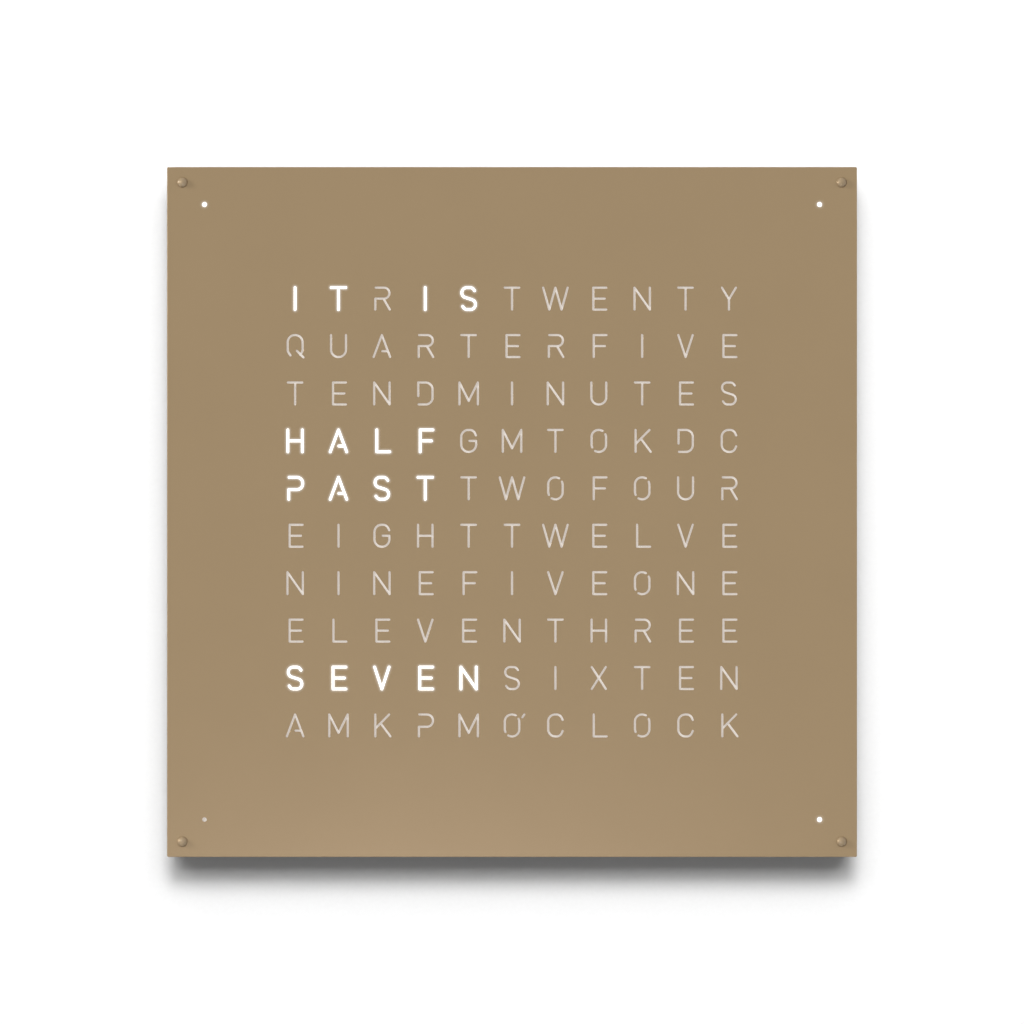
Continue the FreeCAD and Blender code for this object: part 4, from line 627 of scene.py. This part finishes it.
WALL_Y = 0.5 * MM
WALL_HALF = 2.4
FLOOR_Z = -1.3
FLOOR_HALF = 3.0
wall = flat_stage("wall", [(x, WALL_Y, z) for x, z in ((-WALL_HALF, FLOOR_Z), (WALL_HALF, FLOOR_Z),
                                                       (WALL_HALF, WALL_HALF), (-WALL_HALF, WALL_HALF))],
                  wall_paint())
floor = flat_stage("floor", [(x * FLOOR_HALF, y * FLOOR_HALF, FLOOR_Z)
                             for x, y in ((-1, -1), (1, -1), (1, 1), (-1, 1))], floor_paint())
for surface in (wall, floor):
    surface.visible_diffuse = False
    surface.visible_shadow = False


def lit_pieces(name, pieces):
    """A collection of the pieces that some lamps light; the others don't get their light."""
    made = bpy.data.collections.new(name)
    for piece in pieces:
        made.objects.link(piece)
    return made


SHEET, PINS = NODES["front_cover"], NODES["cover_pins"]
COVER_LIGHT = lit_pieces("lit_by_low_bounce", (SHEET, PINS))
PIN_LIGHT = lit_pieces("lit_by_pin_lamps", (PINS,))
SHEET_LIGHT = lit_pieces("lit_by_sheet_lamps", (SHEET,))
WALL_LIGHT = lit_pieces("lit_by_wall_lamps", (wall, floor))
OBJECT_LIGHT = lit_pieces("lit_by_object_lamps", list(NODES.values()) + GLOW)
KEY_LIGHT = lit_pieces("lit_by_key",
                       [piece for piece in list(NODES.values()) + GLOW if piece not in (SHEET, PINS)])


def soft_lamp(name, place, target, width, height, radiance, colour=(1, 1, 1), only=None):
    """A rectangular lamp at place that faces target; its face has that radiance, where 1 is white."""
    data = bpy.data.lights.new(name, "AREA")
    data.shape = "RECTANGLE"
    data.size = width
    data.size_y = height
    data.energy = radiance * math.pi * width * height
    data.color = colour
    lamp = bpy.data.objects.new(name, data)
    bpy.context.scene.collection.objects.link(lamp)
    lamp.location = place
    lamp.rotation_euler = (Vector(target) - Vector(place)).to_track_quat("-Z", "Y").to_euler()
    lamp.visible_camera = False
    if only:
        lamp.light_linking.receiver_collection = only
    return lamp


def polar(distance, aside, up):
    """A place at that distance in front of the clock, aside degrees to the right and up degrees above."""
    a, e = math.radians(aside), math.radians(up)
    return Vector((math.sin(a) * math.cos(e), -math.cos(a) * math.cos(e), math.sin(e))) * distance


# The wall's light and shadow come from a bright strip high in front and a wide soft sheet above it.
# Both lie in a plane parallel to the wall; slopes are sizes and places in that plane over its distance.
WALL_LAMP_DISTANCE = 12.0


def wall_lamp(name, slope_up, half_x, half_z, radiance):
    """An oval lamp that lights only the wall and the floor."""
    distance = WALL_LAMP_DISTANCE
    lamp = soft_lamp(name, (0, -distance, slope_up * distance), (0, 0, slope_up * distance),
                     2 * half_x * distance, 2 * half_z * distance, radiance, only=WALL_LIGHT)
    lamp.data.shape = "ELLIPSE"
    lamp.data.energy *= math.pi / 4
    return lamp


wall_lamp("wall_strip", slope_up=1.085, half_x=0.31, half_z=0.359, radiance=14.9)
wall_lamp("wall_sheet", slope_up=1.655, half_x=1.38, half_z=1.309, radiance=2.98)

# The clock gets a wide soft key light. The cover's sheet and its pins have lamps of their own: the sheet a
# key from the other side and a low raking light that draws the pins' shadows, the pins a weaker key, a fill
# and two small warm lamps for their highlights. A cool lamp below brightens the cover's lower edge.
CENTRE = (0, 0, 0)
WARM = (1.0, 0.98, 0.94)
COOL = (0.58, 0.60, 0.78)
KEY_PLACE = polar(9.0, -46, 27)
RIGHT_PLACE = polar(5.0, 60, 20)
LEFT_PLACE = polar(2.6, -74, 10)
for lamp in (
    soft_lamp("key", KEY_PLACE, CENTRE, width=8.0, height=7.0, radiance=5.75, only=KEY_LIGHT),
    soft_lamp("pin_key", KEY_PLACE, CENTRE, width=8.0, height=7.0, radiance=4.7, only=PIN_LIGHT),
    soft_lamp("pin_fill", RIGHT_PLACE, CENTRE, width=2.0, height=2.0, radiance=2.2, only=PIN_LIGHT),
    soft_lamp("sheet_key", RIGHT_PLACE, CENTRE, width=4.0, height=4.0, radiance=4.4, only=SHEET_LIGHT),
    soft_lamp("sheet_rake", polar(8.0, -75, 20), CENTRE, width=1.1, height=1.1, radiance=210.0,
              only=SHEET_LIGHT),
):
    lamp.visible_glossy = False
soft_lamp("back_fill", (0, 5.0, 1.2), CENTRE, width=6.0, height=5.0, radiance=2.2, only=OBJECT_LIGHT)
soft_lamp("left_far", LEFT_PLACE, CENTRE, width=0.22, height=0.22, radiance=115, colour=WARM,
          only=SHEET_LIGHT)
soft_lamp("pin_far", LEFT_PLACE, CENTRE, width=0.22, height=0.22, radiance=92, colour=WARM, only=PIN_LIGHT)
soft_lamp("pin_near", polar(2.6, -33, 14), CENTRE, width=0.14, height=0.14, radiance=85, colour=WARM,
          only=PIN_LIGHT)
soft_lamp("low_bounce", (-0.07, -0.8, -0.43), (-0.07, 0, -0.22), width=0.41, height=0.1, radiance=5.8,
          colour=COOL, only=COVER_LIGHT)

CAMERA_DISTANCE = 3.02
SENSOR_WIDTH_MM = 36.0
LENS_MM = 161.71
camera_data = bpy.data.cameras.new("camera")
camera_data.sensor_width = SENSOR_WIDTH_MM
camera_data.lens = LENS_MM
camera = bpy.data.objects.new("camera", camera_data)
bpy.context.scene.collection.objects.link(camera)
camera.location = (0, -CAMERA_DISTANCE, 0)
camera.rotation_euler = Euler((math.pi / 2, 0, 0))
bpy.context.scene.camera = camera
bpy.context.scene.view_settings.view_transform = "Standard"
